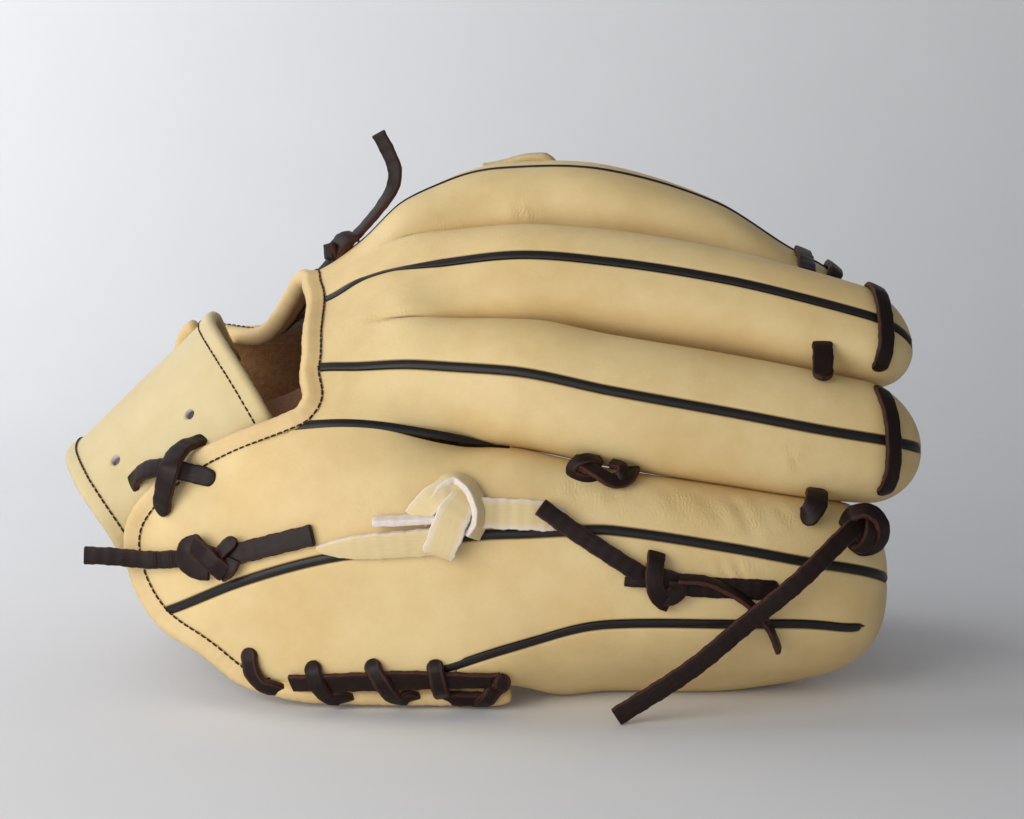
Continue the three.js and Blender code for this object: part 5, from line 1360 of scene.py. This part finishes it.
STRAP_BINDING_RADIUS = 2.4
STRAP_LIP = 3.9
STRAP_CELLS = (230, 70)
STRAP_HOLES = [{"at": 2.27, "across": 0.68}, {"at": 2.67, "across": 0.22}]
HOLE_RADIUS = 1.9


def strap_reach():
    return np.linalg.norm(strap_point(3, 1) - strap_point(3, 0)) / 2


def strap_sheet_point(at, share):
    """share runs from -1 at the wrist edge to 1 at the finger edge, on a strap of constant width."""
    middle = strap_point(at, 0.5)
    toward = unit(strap_point(at, 1) - middle)
    return middle + toward * (share * (strap_reach() - STRAP_BINDING_RADIUS * 0.6))[..., None]


def build_strap():
    """The strap's sheet with its two holes, whose rims are drawn round, and the bindings of its edges."""
    last = STRAP_ROWS[-1]["at"]
    along, across = STRAP_CELLS
    at, share = np.meshgrid(np.linspace(0, last, along), np.linspace(-1, 1, across), indexing="ij")
    points = on_grid(strap_sheet_point, at, share)
    normals = strap_normal(at.ravel()).reshape(*at.shape, 3)
    ripple = 0.35 * np.sin(at * 2.1 + share) + 0.2 * np.sin(at * 4.7 - 2 * share)
    points = points + normals * (ripple * (1 - share ** 2))[..., None]
    flat_points = points.reshape(-1, 3)
    faces = grid_faces(*at.shape, 0, -1)
    keep = np.ones(len(faces), bool)
    centres = flat_points[faces].mean(axis=1)
    for hole in STRAP_HOLES:
        middle = strap_point(hole["at"], hole["across"])[0]
        keep &= np.linalg.norm(centres - middle, axis=1) > HOLE_RADIUS
    used = np.zeros(len(flat_points), bool)
    used[faces[~keep].ravel()] = True
    rim = used & np.isin(np.arange(len(flat_points)), faces[keep].ravel())
    for hole in STRAP_HOLES:
        middle = strap_point(hole["at"], hole["across"])[0]
        away = flat_points - middle
        distance = np.linalg.norm(away, axis=1)
        near = rim & (distance < 2 * HOLE_RADIUS)
        flat_points[near] = middle + away[near] / distance[near, None] * HOLE_RADIUS
    marks = {"seam": np.zeros(len(flat_points)), "wrinkled": np.zeros(len(flat_points))}
    strap = add_object("pale_wrist_strap", flat_points, faces[keep], [STRAP, CUT_SUEDE],
                       ["wrist_strap"], marks)
    add_wall(strap, STRAP_LEATHER, 0, 1)
    at = np.linspace(0, last, 90)
    middle = strap_point(at, 0.5)
    for name, across in (("wrist", 0), ("finger", 1)):
        outward = unit(strap_point(at, across) - middle)
        path = middle + outward * strap_reach()
        add_binding(name + "_edge_strap_binding", "strap_binding_" + name, path, strap_normal(at),
                    STRAP_BINDING_RADIUS, STRAP_LEATHER / 2, STRAP_LIP, -outward[0], STRAP)


# Web between the index stall and the thumb, and the lining

WEB_X = (-4, 100)            # the web's two ends along the index stall
WEB_THUMB_X = (2, 80)        # and along the thumb stall
WEB_OUT = np.array([0, 3.3, 2.4])
WEB_SWELL = 12
WEB_PANELS = {"index": (0, 0.485), "thumb": (0.515, 1)}
# Each web lace's place across the web, and its two ends
WEB_LACES = {"index": (0.1, 14, 92), "middle": (0.5, 2, 94), "thumb": (0.9, 8, 92)}


def web_point(x, a):
    """Points on the web: a is 0 along the index stall and 1 along the thumb."""
    x, a = paired(x, a)
    b = np.clip((x - WEB_X[0]) / (WEB_X[1] - WEB_X[0]), 0, 1)
    thumb_x = lerp(*WEB_THUMB_X, b)
    by_index = stall_point(STALLS["index"], np.maximum(x, CROTCH_X), 18) + WEB_OUT
    by_index[..., 0] = x
    by_index[..., 2] += (0.6 + 3.2 * smoothstep(x, -4, 14)) * (1 - smoothstep(x, 18, 23))
    by_thumb = stall_point(STALLS["thumb"], np.maximum(thumb_x, CROTCH_X), 162) + WEB_OUT
    by_thumb[..., 0] = thumb_x
    swell = 4 * a * (1 - a) * WEB_SWELL
    return lerp(by_index, by_thumb, a[..., None]) + swell[..., None] * np.array([0, 0.7, 0.6])


def build_web():
    for name, ends in WEB_PANELS.items():
        x, a = np.meshgrid(np.linspace(*WEB_X, 84), np.linspace(*ends, 40), indexing="ij")
        blank = np.zeros(x.shape)
        patch = {"points": on_grid(web_point, x, a), "facing": -1, "seam": blank, "wrinkled": blank}
        leather_sheet(f"web_{name}_leather", [patch], WEB_LEATHER, f"web_panel_{name}", [SHELL, CUT_TAN],
                      inner=0)
    for name, (a, start, end) in WEB_LACES.items():
        places = np.linspace(start, end, 12)
        normals = normals_of(web_point, places, np.full_like(places, a), -1)
        path = web_point(places, a) + normals * (LACE_THICK / 2 + 0.1)
        strips = Strips()
        add_band(strips, path, normals, LACE_WIDTH, LACE_THICK)
        strips.finish(f"web_{name}_rawhide", [RAWHIDE], [f"web_{name}_lace"])


LINING_THICK = 1.2
LINING_GAP = 0.35


def build_lining():
    share, at = np.meshgrid(np.linspace(0, 0.8, 40), np.linspace(*PALM_ACROSS, 130), indexing="ij")
    start = start_of(PALM_LINES, at)
    x = lerp(start + 3 * (share < 0.01), CROTCH_X, share)
    normals = normals_of(palm_point, x.ravel(), at.ravel(), -1).reshape(*x.shape, 3)
    points = on_grid(palm_point, x, at) - normals * (PALM_LEATHER + LINING_GAP)
    blank = np.zeros(x.shape)
    patch = {"points": points, "facing": -1, "seam": blank, "wrinkled": blank}
    leather_sheet("palm_cloth_lining", [patch], LINING_THICK, "palm_lining", [LINING, LINING])


# Laces

PROFILE_STEPS = 60           # places along each skin of the front's profile
UNDER_STEPS = 30


def front_profile(x):
    """The little finger's front at a length: heights that rise from the floor,
    and how far out each stands."""
    x = float(x)
    places = np.full(PROFILE_STEPS, x)
    side_t = np.linspace(2 if x < HEEL_SEAM_X else 1, 0, PROFILE_STEPS)
    skin = [pinky_side_point(places, side_t)]
    if x >= HEEL_SEAM_X:
        under_t = np.linspace(0.8, 0, UNDER_STEPS)
        skin.insert(0, half_point("pinky_under", np.full(UNDER_STEPS, x), under_t))
    skin.append(half_point("pinky_back", places, np.linspace(0, 0.94, PROFILE_STEPS)))
    skin = np.concatenate(skin)
    rising = np.maximum.accumulate(skin[:, 2]) + np.arange(len(skin)) * 1e-6
    return rising, skin[:, 1]


def front_skin(x, z):
    rising, depth = front_profile(x)
    return float(np.interp(z, rising, depth))


def front_face(x, z):
    """The way that the little finger's front is turned at (x, z)."""
    step = 2.0
    along = (front_skin(x + step, z) - front_skin(x - step, z)) / (2 * step)
    up = (front_skin(x, z + step) - front_skin(x, z - step)) / (2 * step)
    return unit(np.array([along, -1, up]))


def lace_route(band):
    """
    Control points and face directions of a band. Its rows are (x, z, lift) on the little finger's front,
    strap(), skin() or air(); a row's or the band's own face says how it is turned where it doesn't lie flat.
    """
    points, faces = [], []
    for row in band["rows"]:
        if isinstance(row, tuple):
            x, z, lift = row[:3]
            face = front_face(x, z)
            point = np.array([x, front_skin(x, z), z]) + face * lift
            row = {"face": row[3]} if len(row) > 3 else {}
        elif "across" in row:
            face = strap_normal(np.array([row["at"]]))[0]
            point = strap_point(row["at"], row["across"])[0] + face * row["lift"]
        elif "on" in row:
            surface, facing = skin_of(row["on"])
            t = np.array([max(row["t"], BESIDE_CREST)])
            face = normals_of(surface, np.array([float(row["x"])]), t, facing)[0]
            point = surface(row["x"], row["t"])[0] + face * row["lift"]
        else:
            point = np.array([row["x"], row["y"], row["z"]], float)
            face = None
        own = row.get("face") or band.get("face")
        faces.append(unit(np.array(own, float)) if own is not None else face)
        points.append(point)
    return np.array(points), np.array(faces)


UP = (0, -0.25, 1)


def air(x, y, z, face=None):
    """A lace row in the air, and the way its face is turned there."""
    return {"x": x, "y": y, "z": z, "face": face}


def skin(name, x, t, lift):
    """A lace row over half a stall's skin."""
    return {"on": name, "x": x, "t": t, "lift": lift}


def strap(at, across, lift):
    """A lace row over the wrist strap."""
    return {"at": at, "across": across, "lift": lift}


# Each lace's bands by its node; a band's rows are its route
LACES = {
    "wing_lace_over": [{"width": 7.2, "ends": "holes", "taper": (0.5, 0.74, 0.9) + 6 * (1.0,), "rows": [
        strap(1.5, 0.689, -0.6),
        air(-101.2, -43.6, 88.0, (-0.35, -0.7, 0.6)),
        air(-104.6, -48, 87.2, (-0.4, -0.78, 0.45)),
        air(-107.2, -52.4, 85, (-0.4, -0.85, 0.3)),
        air(-109, -56, 81.4, (-0.35, -0.9, 0.2)),
        air(-110.4, -56, 76.4, (-0.35, -0.92, 0.15)),
        air(-112.0, -52.9, 70.4, (-0.4, -0.88, 0.25)),
        air(-112.8, -50.6, 66.2, (-0.4, -0.85, 0.3)),
        air(-113.2, -49, 63.8, (-0.4, -0.8, 0.4))]}],
    "wing_lace_under": [{"width": 6.4, "ends": "holes", "rows": [
        strap(1.76, 0.193, -0.6),
        air(-122.6, -39.4, 74.8, (-0.6, -0.65, 0.5)),
        air(-118.4, -44.6, 78.2, (-0.6, -0.75, 0.4)),
        air(-113.2, -50, 79.9, (-0.55, -0.8, 0.3)),
        air(-108.4, -52.9, 80.1, (-0.5, -0.85, 0.25)),
        air(-102.6, -52.8, 78.7, (-0.5, -0.8, 0.35)),
        air(-98.1, -53.6, 77.8, (-0.5, -0.8, 0.35)),
        air(-93.8, -54.4, 76.4, (-0.5, -0.8, 0.35))]}],
    "heel_knot_lace": [
        {"rows": [
            air(-139, -55, 50.6, (-0.35, -0.93, 0.05)),
            air(-130, -55, 50.2, (-0.35, -0.93, 0.05)),
            air(-120, -55, 49.2, (-0.45, -0.9, 0.05)),
            (-112, 48.8, 4.2), (-106, 49.8, 3), (-99, 50.8, 2.2)], "creased": (22, 37)},
        {"width": 7.2, "rows": [(-92, 51.2, 2.2), (-85, 53.6, 2.4), (-72.3, 57.8, 1.8), (-59, 61.8, 1.6)]},
        {"width": 8.6, "rows": [(-101.6, 52, 2.2), (-95.5, 51.6, 3.4), (-88.4, 50.4, 2.4)]},
        {"width": 7, "rows": [
            (-93.4, 47.6, 3.2), (-97.6, 47.9, 4.8), (-100.6, 50.6, 5.3), (-100, 54.4, 5.2),
            (-96.2, 55.8, 4.4)]},
        {"width": 6.6, "rows": [
            (-99, 56.2, 4.2), (-95.2, 54.2, 6.2), (-90.8, 50.8, 6.4), (-87.2, 47.2, 4.2)]},
        {"width": 5.2, "rows": [(-89.4, 46.6, 3.2), (-86.2, 48.8, 4.2), (-85, 52.2, 3.2)]},
        {"width": 4.8, "ends": "holes", "rows": [(-91.4, 50.6, 3), (-88, 54.6, 4.6), (-84.2, 58.8, 3.4)]}],
    "thumb_knot_lace": [
        {"width": 8.6, "rows": [
            air(-58, 9, 145.4, (-0.6, -0.7, 0.4)),
            air(-55.5, 7.6, 149.4, (-0.6, -0.7, 0.4)),
            air(-52.6, 9, 152.8, (-0.6, -0.7, 0.4))]},
        {"width": 5, "rows": [
            air(-58.8, 8, 151, (-0.8, -0.5, 0.3)),
            air(-58.4, 7, 145.6, (-0.8, -0.5, 0.3))]},
        {"width": 5, "rows": [
            air(-55, 10, 149.2, (-0.6, -0.4, 0.7)),
            air(-50.4, 10.6, 152.6, (-0.7, -0.4, 0.6)),
            air(-45.4, 11.4, 157.8, (-0.7, -0.4, 0.6)),
            air(-40.4, 12, 163.8, (-0.75, -0.5, 0.5)),
            air(-36.2, 12.5, 170.4, (-0.6, -0.75, 0.3)),
            air(-35.2, 13, 176.8, (-0.35, -0.93, 0.1)),
            air(-37.6, 13.6, 183.4, (-0.3, -0.95, 0)),
            air(-41.2, 14, 190.2, (-0.3, -0.95, 0))]},
        {"width": 7.4, "face": (-0.6, -0.6, 0.6), "rows": [
            air(-57, 9, 143.4), air(-56, 7.5, 149), air(-52.8, 7.5, 153),
            air(-49.6, 9.5, 153.6)]},
        {"width": 4.6, "face": (-0.8, -0.5, 0.3), "rows": [
            air(-58.5, 7.5, 151.2), air(-57.4, 6.8, 147.2), air(-55, 7.5, 143.4)]},
        {"width": 3, "face": (-0.6, -0.5, 0.6), "rows": [
            air(-58, 10, 145.4), air(-60.5, 10, 142.2), air(-63.4, 10, 139.4)]}],
    "pinky_side_lace": [
        {"rows": [(15.6, 70.6, 4.6), (25.5, 64.2, 4), (35.8, 57.8, 3.4), (45.6, 51.6, 3), (54.5, 46.6, 2)]},
        {"width": 7.6, "rows": [(50.6, 49.8, 2), (55.6, 47.8, 2.8), (61.4, 45.8, 2)]},
        {"width": 5.9, "rows": [
            (54.6, 55.8, 1.2), (54, 53.6, 4.4), (53.3, 49, 5.7), (54, 44.2, 5.5), (56.4, 40.8, 4.2),
            (58.4, 39.8, 2)]},
        {"width": 6.2, "rows": [(54, 43.6, 2.6), (57.8, 42, 4.1), (61, 43.6, 3.9), (61.6, 47, 3)]},
        {"width": 3.2, "rows": [(43.8, 47.2, 2.6), (48, 46.8, 3), (53, 46.6, 3)]},
        {"width": 6.8, "ends": "holes", "rows": [
            (58.8, 46, 1.6), (69.7, 44.6, 0.7), (83, 43.6, 0.4), (92, 42.8, 0.5), (96, 42.4, -0.6)]},
        {"width": 4.4, "thick": 1.8, "rows": [
            (61.5, 47.8, 3.2, (0.2, -0.45, 1)), (70.7, 46.9, 3.6, (0.3, -0.45, 1)),
            (79.1, 43.1, 3.8, (0.5, -0.4, 0.9)),
            (85.8, 38.2, 3.8, (0.6, -0.4, 0.75)), (91.9, 31.1, 3.8, (0.85, -0.4, 0.5)),
            (95.6, 23.4, 3.8, (0.9, -0.4, 0.35))]}],
    "pinky_tip_lace": [
        {"width": 8.5, "rows": [
            air(120.6, -63, 60.4, (-0.1, -1, 0)), air(125.4, -65, 60.8, (0.1, -1, 0)),
            air(130, -63.4, 60, (0.4, -0.9, 0))]},
        {"width": 6.3, "rows": [
            air(124.4, -67, 65.4, (0.35, -0.9, 0.25)),
            air(117, -75, 61, (0.3, -0.92, 0.2)),
            air(101.8, -81.5, 47.6, (0.15, -0.97, 0.1)),
            air(84, -83.5, 33.2, (0.1, -0.99, 0)),
            air(65.8, -85.5, 18.4, (0.1, -0.99, 0)),
            air(41.2, -86.8, 2.6, (0.1, -0.99, 0))]},
        {"width": 5.4, "rows": [
            air(118.6, -64, 62, (-0.5, -0.8, 0.4)), air(119.8, -69.5, 67.4, (-0.35, -0.75, 0.6)),
            air(124.8, -70.5, 69.2, (0, -0.7, 0.75)), air(129.2, -70, 66.6, (0.45, -0.75, 0.5)),
            air(131, -68.5, 61.4, (0.6, -0.8, 0)), air(129.6, -67, 56.8, (0.5, -0.75, -0.45)),
            air(125.4, -65.6, 54.8, (0.1, -0.8, -0.6)), air(121, -64, 57.4, (-0.3, -0.85, -0.4))]},
        {"width": 4.2, "rows": [
            air(127.6, -68, 66, (0.2, -0.9, 0.35)), air(126.4, -70.6, 61, (0.25, -0.97, 0)),
            air(124.6, -69.4, 56.6, (0.1, -0.9, -0.35)), air(122.6, -65.5, 54.6, (0, -0.8, -0.6))]},
        {"width": 4.6, "rows": [
            air(122, -62.5, 64, (-0.2, -0.6, 0.8)), air(127, -64, 64.6, (0.4, -0.6, 0.7)),
            air(129.6, -62, 59.6, (0.95, -0.3, 0.1)), air(127.6, -60, 54, (0.7, -0.4, -0.6))]}],
    "heel_lace_bar": [{"width": 7, "thick": 1.8, "rows": [
        (-67.6, 10.4, 1.6), (-58, 11.1, 1.5), (-44, 12, 1.4), (-30.6, 12.8, 1.4), (-17.3, 13.2, 1.4),
        (-3.9, 13, 1.5), (2.4, 12.8, 1.2)]}],
    "ring_pinky_lace": [
        {"width": 4.6, "rows": [
            air(27.5, -61, 84.4, (-0.6, -0.4, 0.8)), air(30, -66, 84.4, (0.1, -0.6, 0.8)),
            air(35.5, -69, 81.6, (0.35, -0.75, 0.6)), air(41, -69.5, 78.8, (0.2, -0.9, 0.4)),
            air(45.6, -66.5, 79.6, (-0.3, -0.8, 0.4)), air(47.8, -61, 81.6, (-0.4, -0.7, 0.5))]},
        {"width": 4, "rows": [
            air(36.6, -63, 84.6, (0.3, -0.4, 0.85)), air(31.4, -66.5, 86, (0, -0.6, 0.8)),
            air(27, -66.8, 83.6, (-0.6, -0.7, 0.3)), air(27.2, -66.6, 80.6, (-0.6, -0.75, -0.2)),
            air(31.6, -67, 79, (0, -0.9, -0.4)), air(35.4, -65.4, 79.6, (0.2, -0.9, -0.2))]},
        {"width": 3.6, "rows": [
            air(38.6, -66.5, 79, (0, -0.9, 0.3)), air(43, -68.5, 80.6, (0.3, -0.8, 0.5)),
            air(43.6, -66, 83.2, (0.2, -0.6, 0.8)), air(40, -63, 83.8, (-0.2, -0.6, 0.8))]}],
    "middle_tip_lace": [{"width": 5.6, "ends": "holes", "rows": [
        skin("middle_high", 131.6, 0.85, -0.6), skin("middle_high", 131.8, 0.62, 1),
        skin("middle_high", 132.6, 0.3, 2), skin("middle_high", 133.4, 0, 2.3),
        skin("middle_low", 133.6, 0.3, 2), skin("middle_low", 132.8, 0.6, 1.2),
        skin("middle_low", 132, 0.78, -0.6)]}],
    "ring_tip_lace": [{"width": 5.6, "ends": "holes", "rows": [
        skin("ring_high", 132, 0.75, -0.6), skin("ring_high", 132.6, 0.5, 1),
        skin("ring_high", 133.8, 0.24, 2), skin("ring_high", 134.4, 0, 2.3),
        skin("ring_low", 134.4, 0.24, 2), skin("ring_low", 133.4, 0.5, 1.2),
        skin("ring_low", 132, 0.68, -0.6)]}],
    "index_tip_lace": [{"width": 5.6, "ends": "holes", "rows": [
        skin("index_low", 119, 0.62, -0.6), skin("index_low", 120, 0.4, 1.2),
        skin("index_low", 121, 0.14, 2), skin("index_high", 121, 0.28, 2),
        skin("index_high", 121, 0.5, 1.2), skin("index_high", 121, 0.7, -0.6)]}],
    "ring_pinky_tip_lace": [{"width": 7.6, "thick": 2.6, "ends": "holes", "rows": [
        air(109.5, -58, 73.8, (0.1, -0.9, 0.5)),
        air(109.3, -63.4, 72.4, (0.1, -0.95, 0.3)),
        air(108.3, -66.6, 69.9, (0, -1, 0.15)),
        air(106.3, -67.2, 67.0, (-0.2, -0.95, 0.3)),
        air(104.5, -65.6, 65.0, (-0.3, -0.8, 0.55))]}],
    "middle_ring_tip_lace": [{"width": 7, "thick": 2.4, "ends": "holes", "rows": [
        air(112.5, -40.5, 122.4, (0, -0.9, 0.4)), air(112.5, -45, 119.8, (0, -1, 0.2)),
        air(112.3, -47.8, 116.6, (0, -1, 0.2)), air(112, -50.5, 113.8, (0, -0.8, 0.6)),
        air(112, -54, 111.2, (0, -0.6, 0.8))]}],
    "index_middle_tip_lace": [{"width": 6.2, "rows": [
        air(110.5, 6.2, 148.7, (1.7, -1, 4)), air(110.5, -0.5, 147.8, (0.75, -1, 1.8)),
        air(110.5, -5.8, 146.6, (0.85, -1, 1.6)), air(110.3, -11, 145, (0.6, -2, 2)),
        air(110, -15, 143.4, (0.4, -2, 1.4))]}],
}
LOW_FACE = (0, -0.85, -0.5)
TUCK_FACE = (0, -0.3, -0.95)
HEEL_WRAPS = [
    [(-82.4, 20.6, -0.5), (-81.6, 17.6, 1.5), (-80.4, 13, 2.4), (-77, 9.6, 3), (-72.6, 7.4, 2.2, LOW_FACE),
     air(-69, -62.5, 4, TUCK_FACE)],
    [(-60.4, 17.6, -0.5), (-59.4, 15, 2.2), (-57.6, 11, 3.3), (-54.6, 7, 3.6), (-50.4, 4.6, 2.4, LOW_FACE),
     air(-47, -62.5, 2, TUCK_FACE)],
    [(-40.4, 19, -0.5), (-39.2, 16.6, 2.2), (-36, 12, 3.3), (-32.4, 7.8, 3.6), (-28, 5, 2.4, LOW_FACE),
     air(-25, -62.8, 2, TUCK_FACE)],
    [(-19.2, 19.4, -0.5), (-18.6, 16.8, 2.2), (-17.6, 11.6, 3.3), (-16.4, 7, 3.6), (-12, 4.4, 2.6, LOW_FACE),
     (-3, 4, 2.4, LOW_FACE), air(2, -65, 2.4, TUCK_FACE)],
    [(3.4, 15.4, 1.6), (2.9, 12.6, 3.4), air(1, -72.8, 8.6, (0.1, -1, 0)),
     air(-1.4, -72.4, 5, LOW_FACE), air(-5, -68, 1.8, TUCK_FACE)],
]

# The pale finger strap: its slot end, the loop and lobes of its knot, and its two tails
FINGER_STRAP = [
    {"width": 10.2, "taper": (0.5, 0.9, 1.0, 1.0, 1.0, 1.0), "rows": [
        (25.4, 66.4, -1.6), (20.6, 67.7, 0.3), (12.7, 68.6, 1.2), (3, 69, 1.9), (-2.5, 69.2, 3.2),
        (-9, 69, 4)]},
    {"width": 9, "taper": (1.1, 1.08, 1.04, 1.0, 0.8, 0.42, 0.2), "face": (-0.05, -1, -0.3), "rows": [
        (-15.5, 61, 3.2), (-22.3, 60.4, 3), (-30.3, 59.8, 2.8), (-40.2, 58.9, 2.4), (-48.5, 58.1, 2),
        (-55.1, 57.6, 1.8),
        (-57.8, 57.4, 1.8)]},
    {"width": 5, "napped": True, "rows": [
        (-15.5, 67.6, 4.4, UP), (-23, 67.4, 4.4, UP), (-31, 67, 4, UP), (-38.8, 66.8, 3.6, UP)]},
    {"width": 9, "rows": [(-20, 68.4, 2.6), (-12, 69.4, 3.4), (-5, 69.4, 2.6)]},
    {"width": 7.4, "rows": [
        (-21, 73.6, 3.2, (-0.6, -0.3, 0.75)), (-17.4, 77, 4, (-0.4, -0.1, 0.9)),
        (-12.4, 78.8, 4.6, (0.1, -0.12, 1)),
        (-7.4, 76.2, 4.9, (0.65, -0.35, 0.65)), (-4.4, 71.2, 5, (0.85, -0.5, 0.2)),
        (-4.2, 66, 4.7, (0.8, -0.55, -0.25)),
        (-6.8, 61.8, 4, (0.5, -0.6, -0.6))]},
    {"width": 8.6, "rows": [(-25, 67.6, 2.8), (-21.6, 71.4, 4.8), (-16.6, 74.2, 5.8), (-10, 74.8, 4.8)]},
    {"width": 11, "taper": (0.7, 0.9, 1.0, 1.02, 1.0, 0.96), "rows": [
        (-7.6, 74, 4.4), (-10.2, 71.6, 6), (-12.7, 68.2, 7), (-14.8, 63.8, 7), (-16.8, 59.4, 5.8),
        (-17.8, 56.4, 4)]},
]


WRAP_WIDTH = 5.7
FINGER_STRAP_WIDTH = 8
FINGER_STRAP_THICK = 2.3


def build_laces():
    for node, bands in LACES.items():
        name = node.replace("_lace", "") + "_rawhide"
        add_lace(name, bands, node, RAWHIDE, LACE_WIDTH, LACE_THICK)
    for number, rows in enumerate(HEEL_WRAPS, 1):
        add_lace(f"heel_wrap_{number}_rawhide", [{"rows": rows, "ends": "holes"}], f"heel_lace_wrap_{number}",
                 RAWHIDE, WRAP_WIDTH, LACE_THICK)
    add_lace("pale_finger_strap", FINGER_STRAP, "finger_strap_lace", STRAP_LACE,
             FINGER_STRAP_WIDTH, FINGER_STRAP_THICK)


def add_lace(name, bands, node, material, width, thick):
    """One lace of bands; width and thick hold for the bands that don't say their own."""
    strips = Strips()
    for band in bands:
        points, faces = lace_route(band)
        add_band(strips, points, faces, band.get("width", width), band.get("thick", thick),
                 band.get("ends") == "holes", band.get("taper"), band.get("napped", False),
                 band.get("creased"))
    strips.finish(name, [material], [node])


STRAP_LACE = rawhide("pale_strap_lace", srgb(220, 198, 150), srgb(212, 188, 138), srgb(224, 216, 218), 0.55)


# Floor, light and camera

CAMERA_PLACE = (0.009735, -0.946115, 0.2415)
CAMERA_PITCH = 81
CAMERA_LENS = 93.62
SENSOR_WIDTH = 36


def build_stage():
    """A floor that sweeps up into a wall; its paper shows on the glove's side only."""
    front, back, rise, radius, wide = -1.8, 0.75, 1.6, 0.35, 2.4
    turn = np.radians(np.linspace(0, 90, 13))
    section = [(front, 0.0), (back - radius, 0.0)]
    section += [(back - radius + radius * math.sin(a), radius - radius * math.cos(a)) for a in turn[1:]]
    section.append((back, rise))
    points = [(x, y, z) for x in (-wide, wide) for y, z in section]
    count = len(section)
    faces = [(k, k + count, k + count + 1, k + 1) for k in range(count - 1)]
    mesh = bpy.data.meshes.new("studio_sweep")
    mesh.from_pydata(points, [], faces)
    mesh.polygons.foreach_set("use_smooth", [True] * len(faces))
    sweep = bpy.data.objects.new("studio_sweep", mesh)
    bpy.context.scene.collection.objects.link(sweep)
    material, tree, shader = new_material("pale_paper", 0.9, 0.1)
    clouds = tree.noise(tree.place(), 60.0, 3.0)
    tree.link(tree.mix(clouds, srgb(224, 224, 226), srgb(228, 228, 230)), shader.inputs["Base Color"])
    seen_through = tree.node("ShaderNodeMixShader")
    tree.link(tree.node("ShaderNodeNewGeometry").outputs["Backfacing"], seen_through.inputs[0])
    tree.link(shader.outputs[0], seen_through.inputs[1])
    tree.link(tree.node("ShaderNodeBsdfTransparent").outputs[0], seen_through.inputs[2])
    output = next(node for node in material.node_tree.nodes if node.type == "OUTPUT_MATERIAL")
    tree.link(seen_through.outputs[0], output.inputs["Surface"])
    mesh.materials.append(material)


LIGHTS = [
    {"name": "window", "place": (-0.52, -0.64, 0.3), "aim": (0, 0, 0.06), "size": 0.6, "watts": 5.0,
     "tone": (1.0, 0.985, 0.955)},
    {"name": "low_fill", "place": (-0.05, -1.15, 0.24), "aim": (0.05, 0, 0.02), "size": 0.7, "watts": 2.4,
     "tone": (1.0, 0.99, 0.98)},
    {"name": "backdrop", "place": (-0.66, 0.28, 0.62), "aim": (0.08, 0.9, 0.3), "size": 0.8, "watts": 5.4,
     "tone": (0.97, 0.98, 1.0)},
]
AIR_TONE = (0.9, 0.94, 1.0, 1)
AIR_STRENGTH = 0.19


def build_light():
    for light in LIGHTS:
        lamp = bpy.data.lights.new(light["name"], "AREA")
        lamp.shape = "SQUARE"
        lamp.size = light["size"]
        lamp.energy = light["watts"]
        lamp.color = light["tone"]
        holder = bpy.data.objects.new(light["name"], lamp)
        holder.location = light["place"]
        holder.rotation_euler = (Vector(light["aim"]) - holder.location).to_track_quat("-Z", "Y").to_euler()
        bpy.context.scene.collection.objects.link(holder)
    world = bpy.data.worlds.new("studio_air")
    world.use_nodes = True
    sky = next(node for node in world.node_tree.nodes if node.type == "BACKGROUND")
    sky.inputs["Color"].default_value = AIR_TONE
    sky.inputs["Strength"].default_value = AIR_STRENGTH
    bpy.context.scene.world = world
    bpy.context.scene.view_settings.view_transform = "Standard"


def build_camera():
    lens = bpy.data.cameras.new("camera")
    lens.lens = CAMERA_LENS
    lens.sensor_width = SENSOR_WIDTH
    camera = bpy.data.objects.new("camera", lens)
    camera.location = CAMERA_PLACE
    camera.rotation_euler = (math.radians(CAMERA_PITCH), 0, 0)
    bpy.context.scene.collection.objects.link(camera)
    bpy.context.scene.camera = camera


build_panels()
build_welts()
build_bindings()
build_strap()
build_web()
build_lining()
build_laces()
build_stage()
build_light()
build_camera()
